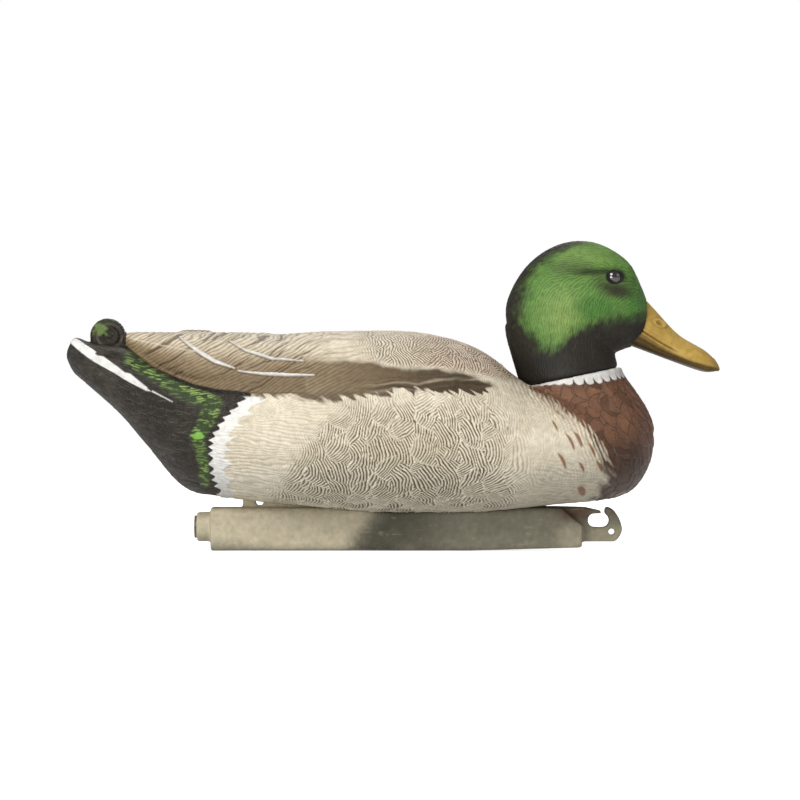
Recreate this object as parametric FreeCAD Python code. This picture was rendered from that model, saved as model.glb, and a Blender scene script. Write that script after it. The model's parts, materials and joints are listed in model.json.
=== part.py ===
"""Floating drake mallard decoy: a hollow hull, a turning head and a keel weighted with sand.

Units are millimetres. +X points to the bill, +Z up, and the sides mirror about the plane Y = 0.
The origin lies on the surface that the keel stands on, below the middle of the overall length.
"""

import FreeCAD, Part
import math
import os

from FreeCAD import Vector

# ---- overall size ----
LENGTH = 440.0
BEAM = 166.0
WALL = 2.2
GAP = 0.3          # between the keel and the hull
FIT = 0.1          # round a part that seats in a hole
SEAT_GAP = 0.05    # below a head that seats on a face
PAST = 1.0         # how far a cut runs past the face that it leaves through

# ---- hull lines: (x, height or half width), tail to breast ----
HULL_TOP = [(-220, 134.5), (-217.6, 139.6), (-214.8, 143.4), (-206, 140), (-185, 137.4),
            (-163, 130), (-142, 127), (-120, 133), (-97, 143.4), (-63, 146.4), (-30, 148),
            (0, 148.2), (24, 145.8), (45, 140.6), (60, 133.8), (80, 119.2), (95, 111.4), (120, 107),
            (150, 106), (161, 104.5), (168, 98.5), (172.5, 89.5), (175.2, 77)]
HULL_BOTTOM = [(-220, 128), (-217, 121.8), (-205, 110.8), (-185, 92.6), (-163, 67), (-146, 46.6),
               (-140, 41.4), (-133, 39.4), (-120, 37), (-97, 33.8), (-63, 30.8), (-41, 28.7), (-20, 26.8),
               (4, 26.2), (45, 26.2), (80, 28.2), (102, 30.6), (127, 32.8), (145, 35), (156, 38.2),
               (164, 44.4), (170, 53.6), (173.6, 63), (175.2, 72)]
HULL_HALF = [(-220, 11), (-217, 18.5), (-212, 25), (-205, 29.5), (-185, 33.5), (-163, 39.5), (-142, 48),
             (-120, 57.5), (-97, 67), (-63, 76.5), (-30, 81.5), (10, BEAM / 2), (45, 82), (80, 78),
             (102, 73), (127, 65), (145, 55.5), (156, 47), (164, 38), (170, 27), (173.6, 16),
             (175.2, 7)]
# where the widest point lies between bottom (0) and top (1), and how square the upper half is
HULL_WAIST = [(-220, 0.68), (-185, 0.66), (-142, 0.6), (-97, 0.5), (0, 0.44), (100, 0.46),
              (175.2, 0.5)]
HULL_SQUARE = [(-220, 3.2), (-185, 3.0), (-120, 2.4), (-63, 2.15), (175.2, 2.1)]
HULL_STATIONS = [-220, -219, -217, -214, -208, -196, -180, -163, -148, -136, -120, -97, -75, -50, -25,
                 0, 25, 45, 62, 80, 100, 120, 138, 150, 159, 165.5, 170, 173.2, 174.6, 175.2]
HOLLOW_REAR, HOLLOW_FRONT = -205.0, 174.0
BREAST_FROM, BREAST_SHIFT = 150.0, 1.6    # the hollow's breast sections move back by this many walls

# ---- folded wings: the shelf that overhangs the rump ----
WING_TOP = [(-184, 146), (-175, 147.2), (-150, 147.3), (-118, 147), (-97, 147), (-78, 145),
            (-60, 140)]
WING_BOTTOM = [(-184, 140.5), (-175, 132.5), (-164, 125), (-150, 117.5), (-135, 111.5), (-118, 108),
               (-60, 106)]
WING_HALF = [(-184, 7), (-175, 17), (-164, 27), (-150, 37.5), (-135, 47), (-118, 54.5), (-97, 59.5),
             (-78, 59), (-60, 52)]
WING_STATIONS = [-184, -175, -164, -150, -135, -118, -97, -78, -60]
WING_WAIST, WING_UPPER, WING_LOWER = 0.32, 2.2, 3.0
WING_HOLLOW_FROM = -170.0

# ---- curled tail feathers ----
CURL_X, CURL_Z = -193.6, 144.3
CURL_R = 11.4
CURL_HALF = 10.5
CURL_ROUND = 4.5

# ---- neck joint: a tilted circle, and the axis that the head turns about ----
NECK_X, NECK_Z = 120.6, 116.8
NECK_TILT = 11.9
# body neck below the joint: (depth, front, rear, half width) from the axis
NECK_FLARE = [(0, 33.6, 34, 33.6), (-7, 35, 35, 36.5), (-14.4, 38, 36, 41), (-24, 42.2, 37, 47),
              (-35, 45.6, 38, 52), (-46, 46.5, 38, 55)]
NECK_DECK = 4.0
# the room that the head turns in, as (radius, height) from the joint
HEAD_ROOM = [(0, 0), (35.2, 0), (36.2, 5), (38.8, 18), (38.8, 60), (0, 60)]
CUP_TOP, CUP_FLANGE_R, CUP_FLANGE_T = -0.4, 28.0, 1.6
CUP_R, CUP_BORE_R, CUP_DEPTH, CUP_FLOOR = 23.6, 21.2, 26.0, 2.0
CUP_GROOVE_R, GROOVE_TOP, GROOVE_BOTTOM = 22.4, -15.5, -20.5
STEM_R, STEM_BORE_R, STEM_END, STEM_ROOF = 20.8, 18.0, -20.0, 1.4
STEM_LIP_R, STEM_LIP_T, STEM_LIP_RISE = 21.9, 3.2, 0.4
STEM_BASE, STEM_FLANGE_R, STEM_FLANGE_T = 0.35, 28.0, 3.2
RING_Z, RING_R, RING_WIRE = -8.0, 20.0, 1.15
STEM_SCREWS, STEM_SCREW_PITCH_R, STEM_SCREW_TURN = 3, 24.2, 60.0
STEM_SCREW_R, STEM_SCREW_HEAD_R, STEM_SCREW_SEAT, STEM_SCREW_TOP = 1.4, 2.8, 2.25, 8.4
LUG_R, LUG_TOP, LUG_HOLE_TOP = 3.6, 12.0, 10.4
HEAD_VENT_R = 10.0

# ---- head: (x, top, bottom, half width) of the skull, rear to face ----
SKULL = [(76.0, 164, 157, 5), (77.4, 170.2, 151, 11.5), (81.2, 179, 143, 18), (88, 189.6, 135, 23),
         (98.8, 199.8, 130, 26.5), (112.4, 206.8, 128, 28.3), (126, 209.0, 128, 28.4),
         (139.5, 206.6, 130, 27), (150.4, 201, 134, 24.6), (159.6, 193, 137.4, 21),
         (165.6, 181.6, 138.6, 16.4), (169.2, 173, 142.4, 11.6), (170.5, 166.4, 148, 7)]
SKULL_WAIST, SKULL_UPPER, SKULL_LOWER = 0.52, 2.05, 2.1
# neck column of the head above the joint: (height, front, rear, half width) from the axis
COLUMN = [(0.3, 30.6, 31.4, 30.4), (1.6, 31.4, 33.4, 31.2), (4.5, 31.4, 35.2, 31),
          (10, 31.4, 36.1, 30), (18, 31.6, 36.7, 28.4), (30, 34, 37.6, 27.6), (44, 36, 37, 27)]
COLUMN_FLOOR = (6.8, 31.4, 34.8, 30.4)
EYE_X, EYE_Z = 147.4, 183.8
EYE_SURFACE = 22.0
EYE_R, EYE_RIM_R = 7.2, 5.4
EYE_SHOW, EYE_DEPTH = 2.0, 8.0

# ---- bill: (distance from the base, upper edge, lower edge, half width) along its own axis ----
BILL_BASE_X, BILL_BASE_Z = 165.0, 155.4
BILL_DROP = 33.0
BILL_RUN = [(-5, 14.4, -17.6, 11.6), (1, 13.2, -18.4, 11.9), (8, 11.4, -17, 11.7), (18, 8.7, -14.8, 11.2),
            (30, 6.7, -12.1, 11.3), (42, 7.3, -9.4, 12.2), (52, 7.3, -6.9, 12.9), (59, 5.4, -4.2, 12),
            (63.0, 3.1, -1.0, 8.4), (64.6, 1.7, 0.7, 4)]
BILL_WAIST, BILL_UPPER, BILL_LOWER = 0.3, 2.0, 3.0
SPIGOT_REACH, SPIGOT_HALF_Y, SPIGOT_HALF_Z = 9.5, 6.5, 7.5
SOCKET_REACH, SOCKET_HALF_Y, SOCKET_HALF_Z = 12.5, 9.0, 11.0

# ---- keel ----
KEEL_REAR, KEEL_FRONT = -123.6, 126.6
KEEL_H, KEEL_W = 29.0, 28.0
KEEL_ROUND = 5.0
KEEL_WALL = 2.0
KEEL_BEVEL_X, KEEL_BEVEL_Z = 14.2, 13.0
ROCKER_X, ROCKER_RISE = 52.0, 2.2
KEEL_NOSE_X = 104.0
BALLAST_ROOM = 8.0    # kept free behind the plug
WEB_T = 7.0
WEB_REAR, WEB_FRONT = -102.2, 101.6
WEB_ROOT_Z, TONGUE_Z = 20.0, 39.0
WEB_CHEEK, WEB_SLACK = 2.5, 0.2
FILL_R, FILL_LENGTH, FILL_BORE_R, FILL_ROUND = 10.0, 9.8, 6.6, 1.4
FILL_Z = 15.8
PLUG_HEAD_R, PLUG_HEAD_T, PLUG_LENGTH = 7.6, 1.4, 15.0
PLUG_STEM_SLACK, PLUG_RIB_SLACK, PLUG_WALL = 0.6, 0.2, 1.6
PLUG_RIBS, PLUG_RIB_T = (2.0, 5.2, 8.4), 1.2
REAR_HOLE_X, REAR_HOLE_Z, REAR_HOLE_R = -90.8, 33.0, 2.8

# ---- line hook at the keel's front ----
HOOK_END_X, HOOK_TOP_Z, HOOK_BASE_Z = 154.4, 29.4, 5.8
SLOT_X, SLOT_Z, SLOT_W, SLOT_H, SLOT_ROUND = 138.2, 20.2, 14.2, 9.0, 4.2
THROAT_X, THROAT_W = 141.2, 2.4
LINE_HOLE_X, LINE_HOLE_Z, LINE_HOLE_R = 147.1, 12.5, 2.2

# ---- keel screws, up through wells in the keel into bosses in the hull ----
SCREW_XS = (-62.0, 66.0)
WELL_R, WELL_WALL, WELL_SEAT_Z = 4.3, 1.6, 20.0
SCREW_R, SCREW_HEAD_R, SCREW_HEAD_T = 1.9, 3.9, 2.6
SCREW_TOP_Z, SCREW_POINT, SCREW_ROUND = 47.0, 3.0, 1.1
BOSS_R, BOSS_TOP_Z = 6.0, 50.0

# ---- vent plug in the underside, behind the keel web ----
VENT_X, VENT_FACE_Z = -122.0, 39.2
VENT_R, VENT_HEAD_R, VENT_HEAD_T, VENT_LENGTH, VENT_TAPER = 3.6, 6.0, 1.4, 7.0, 1.2
PAD_RIM, PAD_T = 2.0, 3.4

SECTION_POINTS = 20
REACH = 60.0    # longer than any wall that a cutting tool has to pass


def through(points):
    """A smooth function through a few (x, value) points, with no overshoot between them."""
    xs = [float(p[0]) for p in points]
    ys = [float(p[1]) for p in points]
    steps = [b - a for a, b in zip(xs, xs[1:])]
    slopes = [(b - a) / h for a, b, h in zip(ys, ys[1:], steps)]
    tangents = [slopes[0]]
    for (h0, d0), (h1, d1) in zip(zip(steps, slopes), zip(steps[1:], slopes[1:])):
        if d0 * d1 <= 0:
            tangents.append(0.0)
        else:
            w0, w1 = 2 * h1 + h0, h1 + 2 * h0
            tangents.append((w0 + w1) / (w0 / d0 + w1 / d1))
    tangents.append(slopes[-1])

    def value(x):
        x = min(max(x, xs[0]), xs[-1])
        i = max(k for k in range(len(steps)) if xs[k] <= x)
        t = (x - xs[i]) / steps[i]
        a, b = ys[i], ys[i + 1]
        ta, tb = tangents[i] * steps[i], tangents[i + 1] * steps[i]
        rise = (b - a) * t * t * (3 - 2 * t)
        return a + rise + ta * t * (1 - t) ** 2 - tb * t * t * (1 - t)

    return value


def closed_curve(points):
    """A smooth closed wire through points."""
    spline = Part.BSplineCurve()
    spline.interpolate(Points=points, PeriodicFlag=True)
    return Part.Wire(spline.toShape())


def upright_oval(x, top, bottom, half, waist=0.5, square=2.0, low_square=2.2):
    """A section at x: an oval whose widest point lies at waist between bottom and top."""
    middle = bottom + (top - bottom) * waist
    points = []
    for k in range(SECTION_POINTS):
        a = 2 * math.pi * k / SECTION_POINTS
        c, s = math.cos(a), math.sin(a)
        power = 2 / (square if s > 0 else low_square)
        height = (top - middle) if s > 0 else (middle - bottom)
        y = half * math.copysign(abs(c) ** power, c)
        points.append(Vector(x, y, middle + height * math.copysign(abs(s) ** power, s)))
    return closed_curve(points)


def neck_placement(height=0.0):
    """Neck axes: local X runs forward along the joint, local Z up the axis that the head turns about."""
    turn = FreeCAD.Rotation(Vector(0, 1, 0), -NECK_TILT)
    base = Vector(NECK_X, 0, NECK_Z) + turn.multVec(Vector(0, 0, height))
    return FreeCAD.Placement(base, turn)


def neck_oval(height, front, rear, half):
    """A section square to the neck axis, with its own reach to the front, the rear and the sides."""
    points = []
    for k in range(SECTION_POINTS):
        a = 2 * math.pi * k / SECTION_POINTS
        reach = front if math.cos(a) > 0 else rear
        points.append(Vector(reach * math.cos(a), half * math.sin(a), height))
    wire = closed_curve(points)
    wire.Placement = neck_placement()
    return wire


def on_neck(shape):
    """A shape made about the local Z axis, placed on the neck axis."""
    placed = shape.copy()
    placed.Placement = neck_placement().multiply(placed.Placement)
    return placed


def cylinder(r, bottom, top):
    return Part.makeCylinder(r, top - bottom, Vector(0, 0, bottom))


def post(x, r, bottom, top):
    """An upright cylinder on the middle plane at x."""
    return cylinder(r, bottom, top).translated(Vector(x, 0, 0))


def across(x, z, r):
    """A cylinder along Y, right through the keel."""
    return Part.makeCylinder(r, REACH, Vector(x, -REACH / 2, z), Vector(0, 1, 0))


def loft(wires):
    return Part.makeLoft(wires, True, False)


def prism(corners):
    """A wedge from corners given as (x, z), right across the keel."""
    points = [Vector(x, -REACH / 2, z) for x, z in corners]
    return Part.Face(Part.makePolygon(points + points[:1])).extrude(Vector(0, REACH, 0))


def cross_recess(width, arm, bottom, depth):
    """The two crossed slots of a screw head."""
    slot = Part.makeBox(arm, width, depth, Vector(-arm / 2, -width / 2, bottom))
    other = Part.makeBox(width, arm, depth, Vector(-width / 2, -arm / 2, bottom))
    return [slot, other]


# ---------------------------------------------------------------- hull

def hull_form(inset=0.0):
    """The hull from tail to breast. An inset makes its hollow, and a negative one its clearance."""
    top, bottom, half = through(HULL_TOP), through(HULL_BOTTOM), through(HULL_HALF)
    waist, square = through(HULL_WAIST), through(HULL_SQUARE)
    stations = [x for x in HULL_STATIONS if not inset or HOLLOW_REAR < x < HOLLOW_FRONT]
    wires = []
    for x in stations:
        shift = inset * BREAST_SHIFT if x > BREAST_FROM else 0
        wires.append(upright_oval(x - shift, top(x) - inset, bottom(x) + inset,
                                  half(x) - inset, waist(x), square(x)))
    return loft(wires)


def wing_form(inset=0.0):
    """The folded wings, whose lower edge is a shelf over the rump."""
    top, bottom, half = through(WING_TOP), through(WING_BOTTOM), through(WING_HALF)
    stations = [x for x in WING_STATIONS if not inset or x > WING_HOLLOW_FROM]
    return loft([upright_oval(x, top(x) - inset, bottom(x) + inset, half(x) - inset,
                              WING_WAIST, WING_UPPER, WING_LOWER) for x in stations])


def curl_form():
    """The curled feathers that stand on the rump: a short roll with rounded ends."""
    roll = Part.makeCylinder(CURL_R, 2 * CURL_HALF, Vector(CURL_X, -CURL_HALF, CURL_Z),
                             Vector(0, 1, 0))
    rounded = [e for e in roll.Edges if e.Curve.TypeId == "Part::GeomCircle"]
    return roll.makeFillet(CURL_ROUND, rounded)


def neck_form(inset=0.0):
    """The body's neck, which flares from the joint into the breast and shoulders."""
    return loft([neck_oval(h - (NECK_DECK if inset else 0), f - inset, r - inset, w - inset)
                 for h, f, r, w in NECK_FLARE])


def head_room():
    """The space that the head needs above the joint, a little wider than its neck all round."""
    points = [Vector(r, 0, z) for r, z in HEAD_ROOM]
    profile = Part.Face(Part.makePolygon(points + points[:1]))
    return on_neck(profile.revolve(Vector(0, 0, 0), Vector(0, 0, 1), 360))


def make_body_shell():
    outer = hull_form().fuse([wing_form(), neck_form(), curl_form()])
    hollow = hull_form(WALL).fuse([wing_form(WALL), neck_form(WALL)])
    rib_half = WEB_T / 2 + WEB_CHEEK
    rib = Part.makeBox(WEB_FRONT - WEB_REAR + 8, 2 * rib_half, 20,
                       Vector(WEB_REAR - 4, -rib_half, WEB_ROOT_Z + 2))
    supports = [rib] + [post(x, BOSS_R, WEB_ROOT_Z + 10, BOSS_TOP_Z) for x in SCREW_XS]
    supports.append(post(VENT_X, VENT_HEAD_R + PAD_RIM, WEB_ROOT_Z, VENT_FACE_Z + PAD_T))
    shell = outer.cut(hollow.cut(supports))
    slot = Part.makeBox(WEB_FRONT - WEB_REAR + 1, WEB_T + 2 * WEB_SLACK, TONGUE_Z - WEB_ROOT_Z + GAP,
                        Vector(WEB_REAR - 0.5, -WEB_T / 2 - WEB_SLACK, WEB_ROOT_Z))
    cuts = [head_room(), slot,
            on_neck(cylinder(CUP_R + FIT, -CUP_DEPTH / 2, PAST)),
            on_neck(cylinder(CUP_FLANGE_R + FIT, CUP_TOP - CUP_FLANGE_T, PAST)),
            post(VENT_X, VENT_R + FIT, WEB_ROOT_Z, VENT_FACE_Z + 6),
            post(VENT_X, VENT_HEAD_R + 2 * FIT, WEB_ROOT_Z, VENT_FACE_Z)]
    cuts += [post(x, SCREW_R + FIT, WEB_ROOT_Z + 10, SCREW_TOP_Z + 0.5) for x in SCREW_XS]
    return shell.cut(cuts)


def make_vent_plug():
    """A push-in plug that closes the hull's blow hole, its head up against the spot face."""
    face = VENT_FACE_Z - SEAT_GAP
    end = face + VENT_LENGTH - VENT_HEAD_T
    head = post(VENT_X, VENT_HEAD_R, face - VENT_HEAD_T, face)
    stem = post(VENT_X, VENT_R, face - 0.5, end)
    tip = Part.makeCone(VENT_R, VENT_R - VENT_TAPER, VENT_TAPER, Vector(VENT_X, 0, end))
    return head.fuse([stem, tip])


# ---------------------------------------------------------------- neck joint

def make_neck_cup():
    """A closed cup bonded into the neck, so that water can't reach the hull past the head."""
    flange = cylinder(CUP_FLANGE_R, CUP_TOP - CUP_FLANGE_T, CUP_TOP)
    bore = cylinder(CUP_BORE_R, CUP_FLOOR - CUP_DEPTH, CUP_TOP + PAST)
    groove = cylinder(CUP_GROOVE_R, GROOVE_BOTTOM, GROOVE_TOP)
    return on_neck(flange.fuse(cylinder(CUP_R, -CUP_DEPTH, CUP_TOP)).cut([bore, groove]))


def screw_circle():
    for k in range(STEM_SCREWS):
        a = math.radians(STEM_SCREW_TURN + 360 * k / STEM_SCREWS)
        yield Vector(STEM_SCREW_PITCH_R * math.cos(a), STEM_SCREW_PITCH_R * math.sin(a), 0)


def make_head_stem():
    """The spigot screwed under the head. Its lip snaps into the cup's groove."""
    flange = cylinder(STEM_FLANGE_R, STEM_BASE, STEM_BASE + STEM_FLANGE_T)
    tube = cylinder(STEM_R, STEM_END, STEM_BASE + 1)
    lip_start = STEM_END + STEM_LIP_RISE
    lip = cylinder(STEM_LIP_R, lip_start, lip_start + STEM_LIP_T)
    ring_seat = Part.makeTorus(RING_R, RING_WIRE + FIT, Vector(0, 0, RING_Z))
    hollow = cylinder(STEM_BORE_R, STEM_END - PAST, STEM_BASE + STEM_FLANGE_T - STEM_ROOF)
    cuts = [hollow, ring_seat]
    for at in screw_circle():
        cuts.append(cylinder(STEM_SCREW_R + FIT, -PAST, STEM_SCREW_TOP).translated(at))
        cuts.append(cylinder(STEM_SCREW_HEAD_R + 2 * FIT, -PAST, STEM_SCREW_SEAT).translated(at))
    return on_neck(flange.fuse([tube, lip]).cut(cuts))


def make_friction_ring():
    """The rubber ring in the stem's groove. It holds the head at any angle and keeps grit out."""
    return on_neck(Part.makeTorus(RING_R, RING_WIRE, Vector(0, 0, RING_Z)))


def make_stem_screws():
    """Three short tapping screws, up through the stem's flange into the head's floor."""
    seat = STEM_SCREW_SEAT - 3 * SEAT_GAP
    head = cylinder(STEM_SCREW_HEAD_R, seat - 1.6, seat)
    shank = cylinder(STEM_SCREW_R, seat - 0.1, STEM_SCREW_TOP)
    point = Part.makeCone(STEM_SCREW_R, 0.3, 1.4, Vector(0, 0, STEM_SCREW_TOP))
    screw = head.fuse([shank, point]).cut(cross_recess(0.7, 4.4, 0.2, 0.9))
    return on_neck(Part.makeCompound([screw.translated(at) for at in screw_circle()]))


# ---------------------------------------------------------------- head

def skull_form(inset=0.0):
    rows = SKULL[2:-1] if inset else SKULL
    return loft([upright_oval(x, t - inset, b + inset, w - inset,
                              SKULL_WAIST, SKULL_UPPER, SKULL_LOWER) for x, t, b, w in rows])


def column_form(inset=0.0):
    rows = [COLUMN_FLOOR] + COLUMN[3:] if inset else COLUMN
    return loft([neck_oval(h, f - inset, r - inset, w - inset) for h, f, r, w in rows])


def bill_placement():
    turn = FreeCAD.Rotation(Vector(0, 1, 0), BILL_DROP)
    return FreeCAD.Placement(Vector(BILL_BASE_X, 0, BILL_BASE_Z), turn)


def on_bill(shape):
    """A shape made along the bill's own axes, placed on the head."""
    placed = shape.copy()
    placed.Placement = bill_placement()
    return placed


def bill_form():
    """The bill: a tall base, a waist and a broad flat end."""
    return on_bill(loft([upright_oval(run, high, low, half, BILL_WAIST, BILL_UPPER, BILL_LOWER)
                         for run, high, low, half in BILL_RUN]))


def bill_block(reach, half_y, half_z):
    """A block about the bill's axis, from behind its base to just inside it."""
    start = Vector(-reach, -half_y, -half_z)
    return on_bill(Part.makeBox(reach + 2, 2 * half_y, 2 * half_z, start))


def eye_post(side, r, depth):
    """A cylinder across the head at the eye, from depth below the cheek to well outside it."""
    start = Vector(EYE_X, side * (EYE_SURFACE - depth), EYE_Z)
    return Part.makeCylinder(r, depth + 6, start, Vector(0, side, 0))


def make_eye(side):
    """A domed eye on a round shank, set so that only the dome stands out of the head."""
    centre = Vector(EYE_X, side * (EYE_SURFACE + EYE_SHOW - EYE_R), EYE_Z)
    dome = Part.makeSphere(EYE_R, centre, Vector(0, side, 0), 0, 90, 360)
    front = dome.common(eye_post(side, EYE_RIM_R, EYE_R - EYE_SHOW))
    shank = Part.makeCylinder(EYE_RIM_R, EYE_DEPTH - EYE_R + EYE_SHOW,
                              Vector(EYE_X, side * (EYE_SURFACE - EYE_DEPTH), EYE_Z),
                              Vector(0, side, 0))
    return front.fuse(shank).removeSplitter()


def make_head_shell():
    outer = skull_form().fuse(column_form())
    lugs = [on_neck(cylinder(LUG_R, 3, LUG_TOP).translated(at)) for at in screw_circle()]
    shell = outer.cut(skull_form(WALL).fuse(column_form(WALL)).cut(lugs))
    sides = (-1, 1)
    sockets = [eye_post(side, EYE_RIM_R + WALL, EYE_DEPTH + WALL) for side in sides]
    shell = shell.fuse([socket.common(outer) for socket in sockets])
    shell = shell.fuse(bill_block(SOCKET_REACH, SOCKET_HALF_Y, SOCKET_HALF_Z).common(outer))
    shell = shell.cut([eye_post(side, EYE_RIM_R + FIT, EYE_DEPTH + FIT) for side in sides])
    shell = shell.cut(bill_block(SPIGOT_REACH + FIT, SPIGOT_HALF_Y + FIT, SPIGOT_HALF_Z + FIT))
    shell = shell.cut(bill_form())
    flange_seat = cylinder(STEM_FLANGE_R + 2 * FIT, -PAST, STEM_BASE + STEM_FLANGE_T + FIT)
    shell = shell.cut([on_neck(flange_seat), on_neck(cylinder(HEAD_VENT_R, -PAST, LUG_TOP))])
    holes = [on_neck(cylinder(STEM_SCREW_R + SEAT_GAP, 0, LUG_HOLE_TOP).translated(at))
             for at in screw_circle()]
    return shell.cut(holes)


def make_bill():
    return bill_form().fuse(bill_block(SPIGOT_REACH, SPIGOT_HALF_Y, SPIGOT_HALF_Z))


# ---------------------------------------------------------------- keel

def keel_profile(inset):
    """The keel's section in the YZ plane: a rounded box."""
    half, low, high = KEEL_W / 2 - inset, inset, KEEL_H - inset
    box = Part.makeBox(KEEL_FRONT - KEEL_REAR - 2 * inset, 2 * half, high - low,
                       Vector(KEEL_REAR + inset, -half, low))
    along = [e for e in box.Edges if abs(e.tangentAt(e.FirstParameter).x) > 0.9]
    return box.makeFillet(KEEL_ROUND - inset * 0.8, along)


def keel_bevel(inset):
    """A wedge that slopes the keel's upper front corner down to the hook plate."""
    x, z = KEEL_FRONT - inset, KEEL_H - inset
    return prism([(x - KEEL_BEVEL_X, z), (x + 1, z - KEEL_BEVEL_Z), (x + 40, z + 1),
                  (x - KEEL_BEVEL_X, z + 1)])


def keel_rocker(inset):
    """The thin wedge below the keel's front half, which rises a little towards the hook."""
    x = KEEL_FRONT + 1
    return prism([(ROCKER_X, inset), (x, ROCKER_RISE + inset), (x, -5), (ROCKER_X, -5)])


def hook_plate():
    """The flat plate at the keel's front, with its line slot, throat and line hole."""
    top, base, end = HOOK_TOP_Z, HOOK_BASE_Z, HOOK_END_X
    a = [Vector(90, 0, base), Vector(end - 5.2, 0, base), Vector(end - 1.2, 0, base + 4.6),
         Vector(end, 0, base + 8.2), Vector(end - 2.6, 0, top - 7), Vector(end - 6, 0, top - 2.2),
         Vector(end - 10.2, 0, top), Vector(THROAT_X + THROAT_W / 2 - 0.4, 0, top - 0.8)]
    left = THROAT_X - THROAT_W / 2
    b = [Vector(THROAT_X, 0, top - 3.4), Vector(left, 0, top - 2.6), Vector(129.3, 0, top - 0.2),
         Vector(110, 0, top + 0.4), Vector(90, 0, top + 0.4)]
    edges = [Part.LineSegment(a[0], a[1]).toShape(), Part.Arc(a[1], a[2], a[3]).toShape(),
             Part.Arc(a[3], a[4], a[5]).toShape(), Part.Arc(a[5], a[5] + Vector(-2.2, 0, 1.5),
                                                            a[6]).toShape()]
    rest = a[6:] + b + [a[0]]
    edges += [Part.LineSegment(p, q).toShape() for p, q in zip(rest, rest[1:])]
    face = Part.Face(Part.Wire(edges))
    plate = face.extrude(Vector(0, WEB_T, 0)).translated(Vector(0, -WEB_T / 2, 0))
    slot = Part.makeBox(SLOT_W, 20, SLOT_H, Vector(SLOT_X - SLOT_W / 2, -10, SLOT_Z - SLOT_H / 2))
    corners = [e for e in slot.Edges if abs(e.tangentAt(e.FirstParameter).y) > 0.9]
    throat = Part.makeBox(THROAT_W, 20, 12, Vector(THROAT_X - THROAT_W / 2, -10, SLOT_Z))
    hole = across(LINE_HOLE_X, LINE_HOLE_Z, LINE_HOLE_R)
    return plate.cut([slot.makeFillet(SLOT_ROUND, corners), throat, hole])


def fill_neck(r, start, end):
    return Part.makeCylinder(r, end - start, Vector(start, 0, FILL_Z), Vector(1, 0, 0))


def front_block(x):
    """Everything in front of x: where the keel is solid."""
    return Part.makeBox(REACH, REACH, REACH, Vector(x, -REACH / 2, -10))


def make_keel_shell():
    tube = keel_profile(0).cut([keel_bevel(0), keel_rocker(0)])
    neck = fill_neck(FILL_R, KEEL_REAR - FILL_LENGTH, KEEL_REAR + 2)
    rear_rim = [e for e in neck.Edges if e.Curve.TypeId == "Part::GeomCircle"
                and e.CenterOfMass.x < KEEL_REAR - 1]
    neck = neck.makeFillet(FILL_ROUND, rear_rim)
    web = Part.makeBox(WEB_FRONT - WEB_REAR, WEB_T, TONGUE_Z - WEB_ROOT_Z,
                       Vector(WEB_REAR, -WEB_T / 2, WEB_ROOT_Z))
    outer = tube.cut(hull_form(-GAP)).fuse([neck, web, hook_plate()])
    hollow = keel_profile(KEEL_WALL).cut([keel_bevel(KEEL_WALL), keel_rocker(KEEL_WALL),
                                          hull_form(-GAP - KEEL_WALL)])
    wells = [post(x, WELL_R + WELL_WALL, 0, KEEL_H - 1) for x in SCREW_XS]
    cuts = [hollow.cut(wells + [front_block(KEEL_NOSE_X)]),
            fill_neck(FILL_BORE_R, KEEL_REAR - 3 * FILL_LENGTH, KEEL_REAR + 4),
            across(REAR_HOLE_X, REAR_HOLE_Z, REAR_HOLE_R)]
    cuts += [post(x, WELL_R, -PAST, WELL_SEAT_Z) for x in SCREW_XS]
    cuts += [post(x, SCREW_R + 2 * FIT, 0, TONGUE_Z + 5) for x in SCREW_XS]
    return outer.cut(cuts)


def make_keel_ballast():
    """Sand, packed against the keel's inside and round the screw wells, short of the plug."""
    fill = keel_profile(KEEL_WALL + FIT)
    wells = [post(x, WELL_R + WELL_WALL + FIT, 0, KEEL_H) for x in SCREW_XS]
    rear_room = Part.makeBox(BALLAST_ROOM, REACH, REACH, Vector(KEEL_REAR, -REACH / 2, -10))
    return fill.cut(wells + [rear_room, front_block(KEEL_NOSE_X - 2 * FIT),
                             keel_rocker(KEEL_WALL + FIT), hull_form(-GAP - KEEL_WALL - FIT)])


def make_keel_plug():
    """The push-in plug that closes the fill neck: a thin round head and a hollow, ribbed stem."""
    mouth = KEEL_REAR - FILL_LENGTH
    stem_r = FILL_BORE_R - PLUG_STEM_SLACK
    head = fill_neck(PLUG_HEAD_R, mouth - PLUG_HEAD_T - SEAT_GAP, mouth - SEAT_GAP)
    stem = fill_neck(stem_r, mouth - 2 * SEAT_GAP, mouth + PLUG_LENGTH)
    ribs = [fill_neck(FILL_BORE_R - PLUG_RIB_SLACK, mouth + start, mouth + start + PLUG_RIB_T)
            for start in PLUG_RIBS]
    hollow = fill_neck(stem_r - PLUG_WALL, mouth + PLUG_HEAD_T, mouth + PLUG_LENGTH + PAST)
    return head.fuse([stem] + ribs).cut(hollow)


def make_keel_screws():
    """Two stainless pan-head tapping screws with cross recesses."""
    seat = WELL_SEAT_Z - SEAT_GAP
    head = cylinder(SCREW_HEAD_R, seat - SCREW_HEAD_T, seat)
    rim = [e for e in head.Edges if e.Curve.TypeId == "Part::GeomCircle"
           and e.CenterOfMass.z < seat - 1]
    head = head.makeFillet(SCREW_ROUND, rim)
    shank = cylinder(SCREW_R, seat - 0.5, SCREW_TOP_Z - SCREW_POINT)
    point = Part.makeCone(SCREW_R, 0.3, SCREW_POINT, Vector(0, 0, SCREW_TOP_Z - SCREW_POINT))
    recess = cross_recess(0.9, 4.6, seat - SCREW_HEAD_T - 0.2, 1.6)
    screw = head.fuse([shank, point]).cut(recess)
    return Part.makeCompound([screw.translated(Vector(x, 0, 0)) for x in SCREW_XS])


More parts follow.
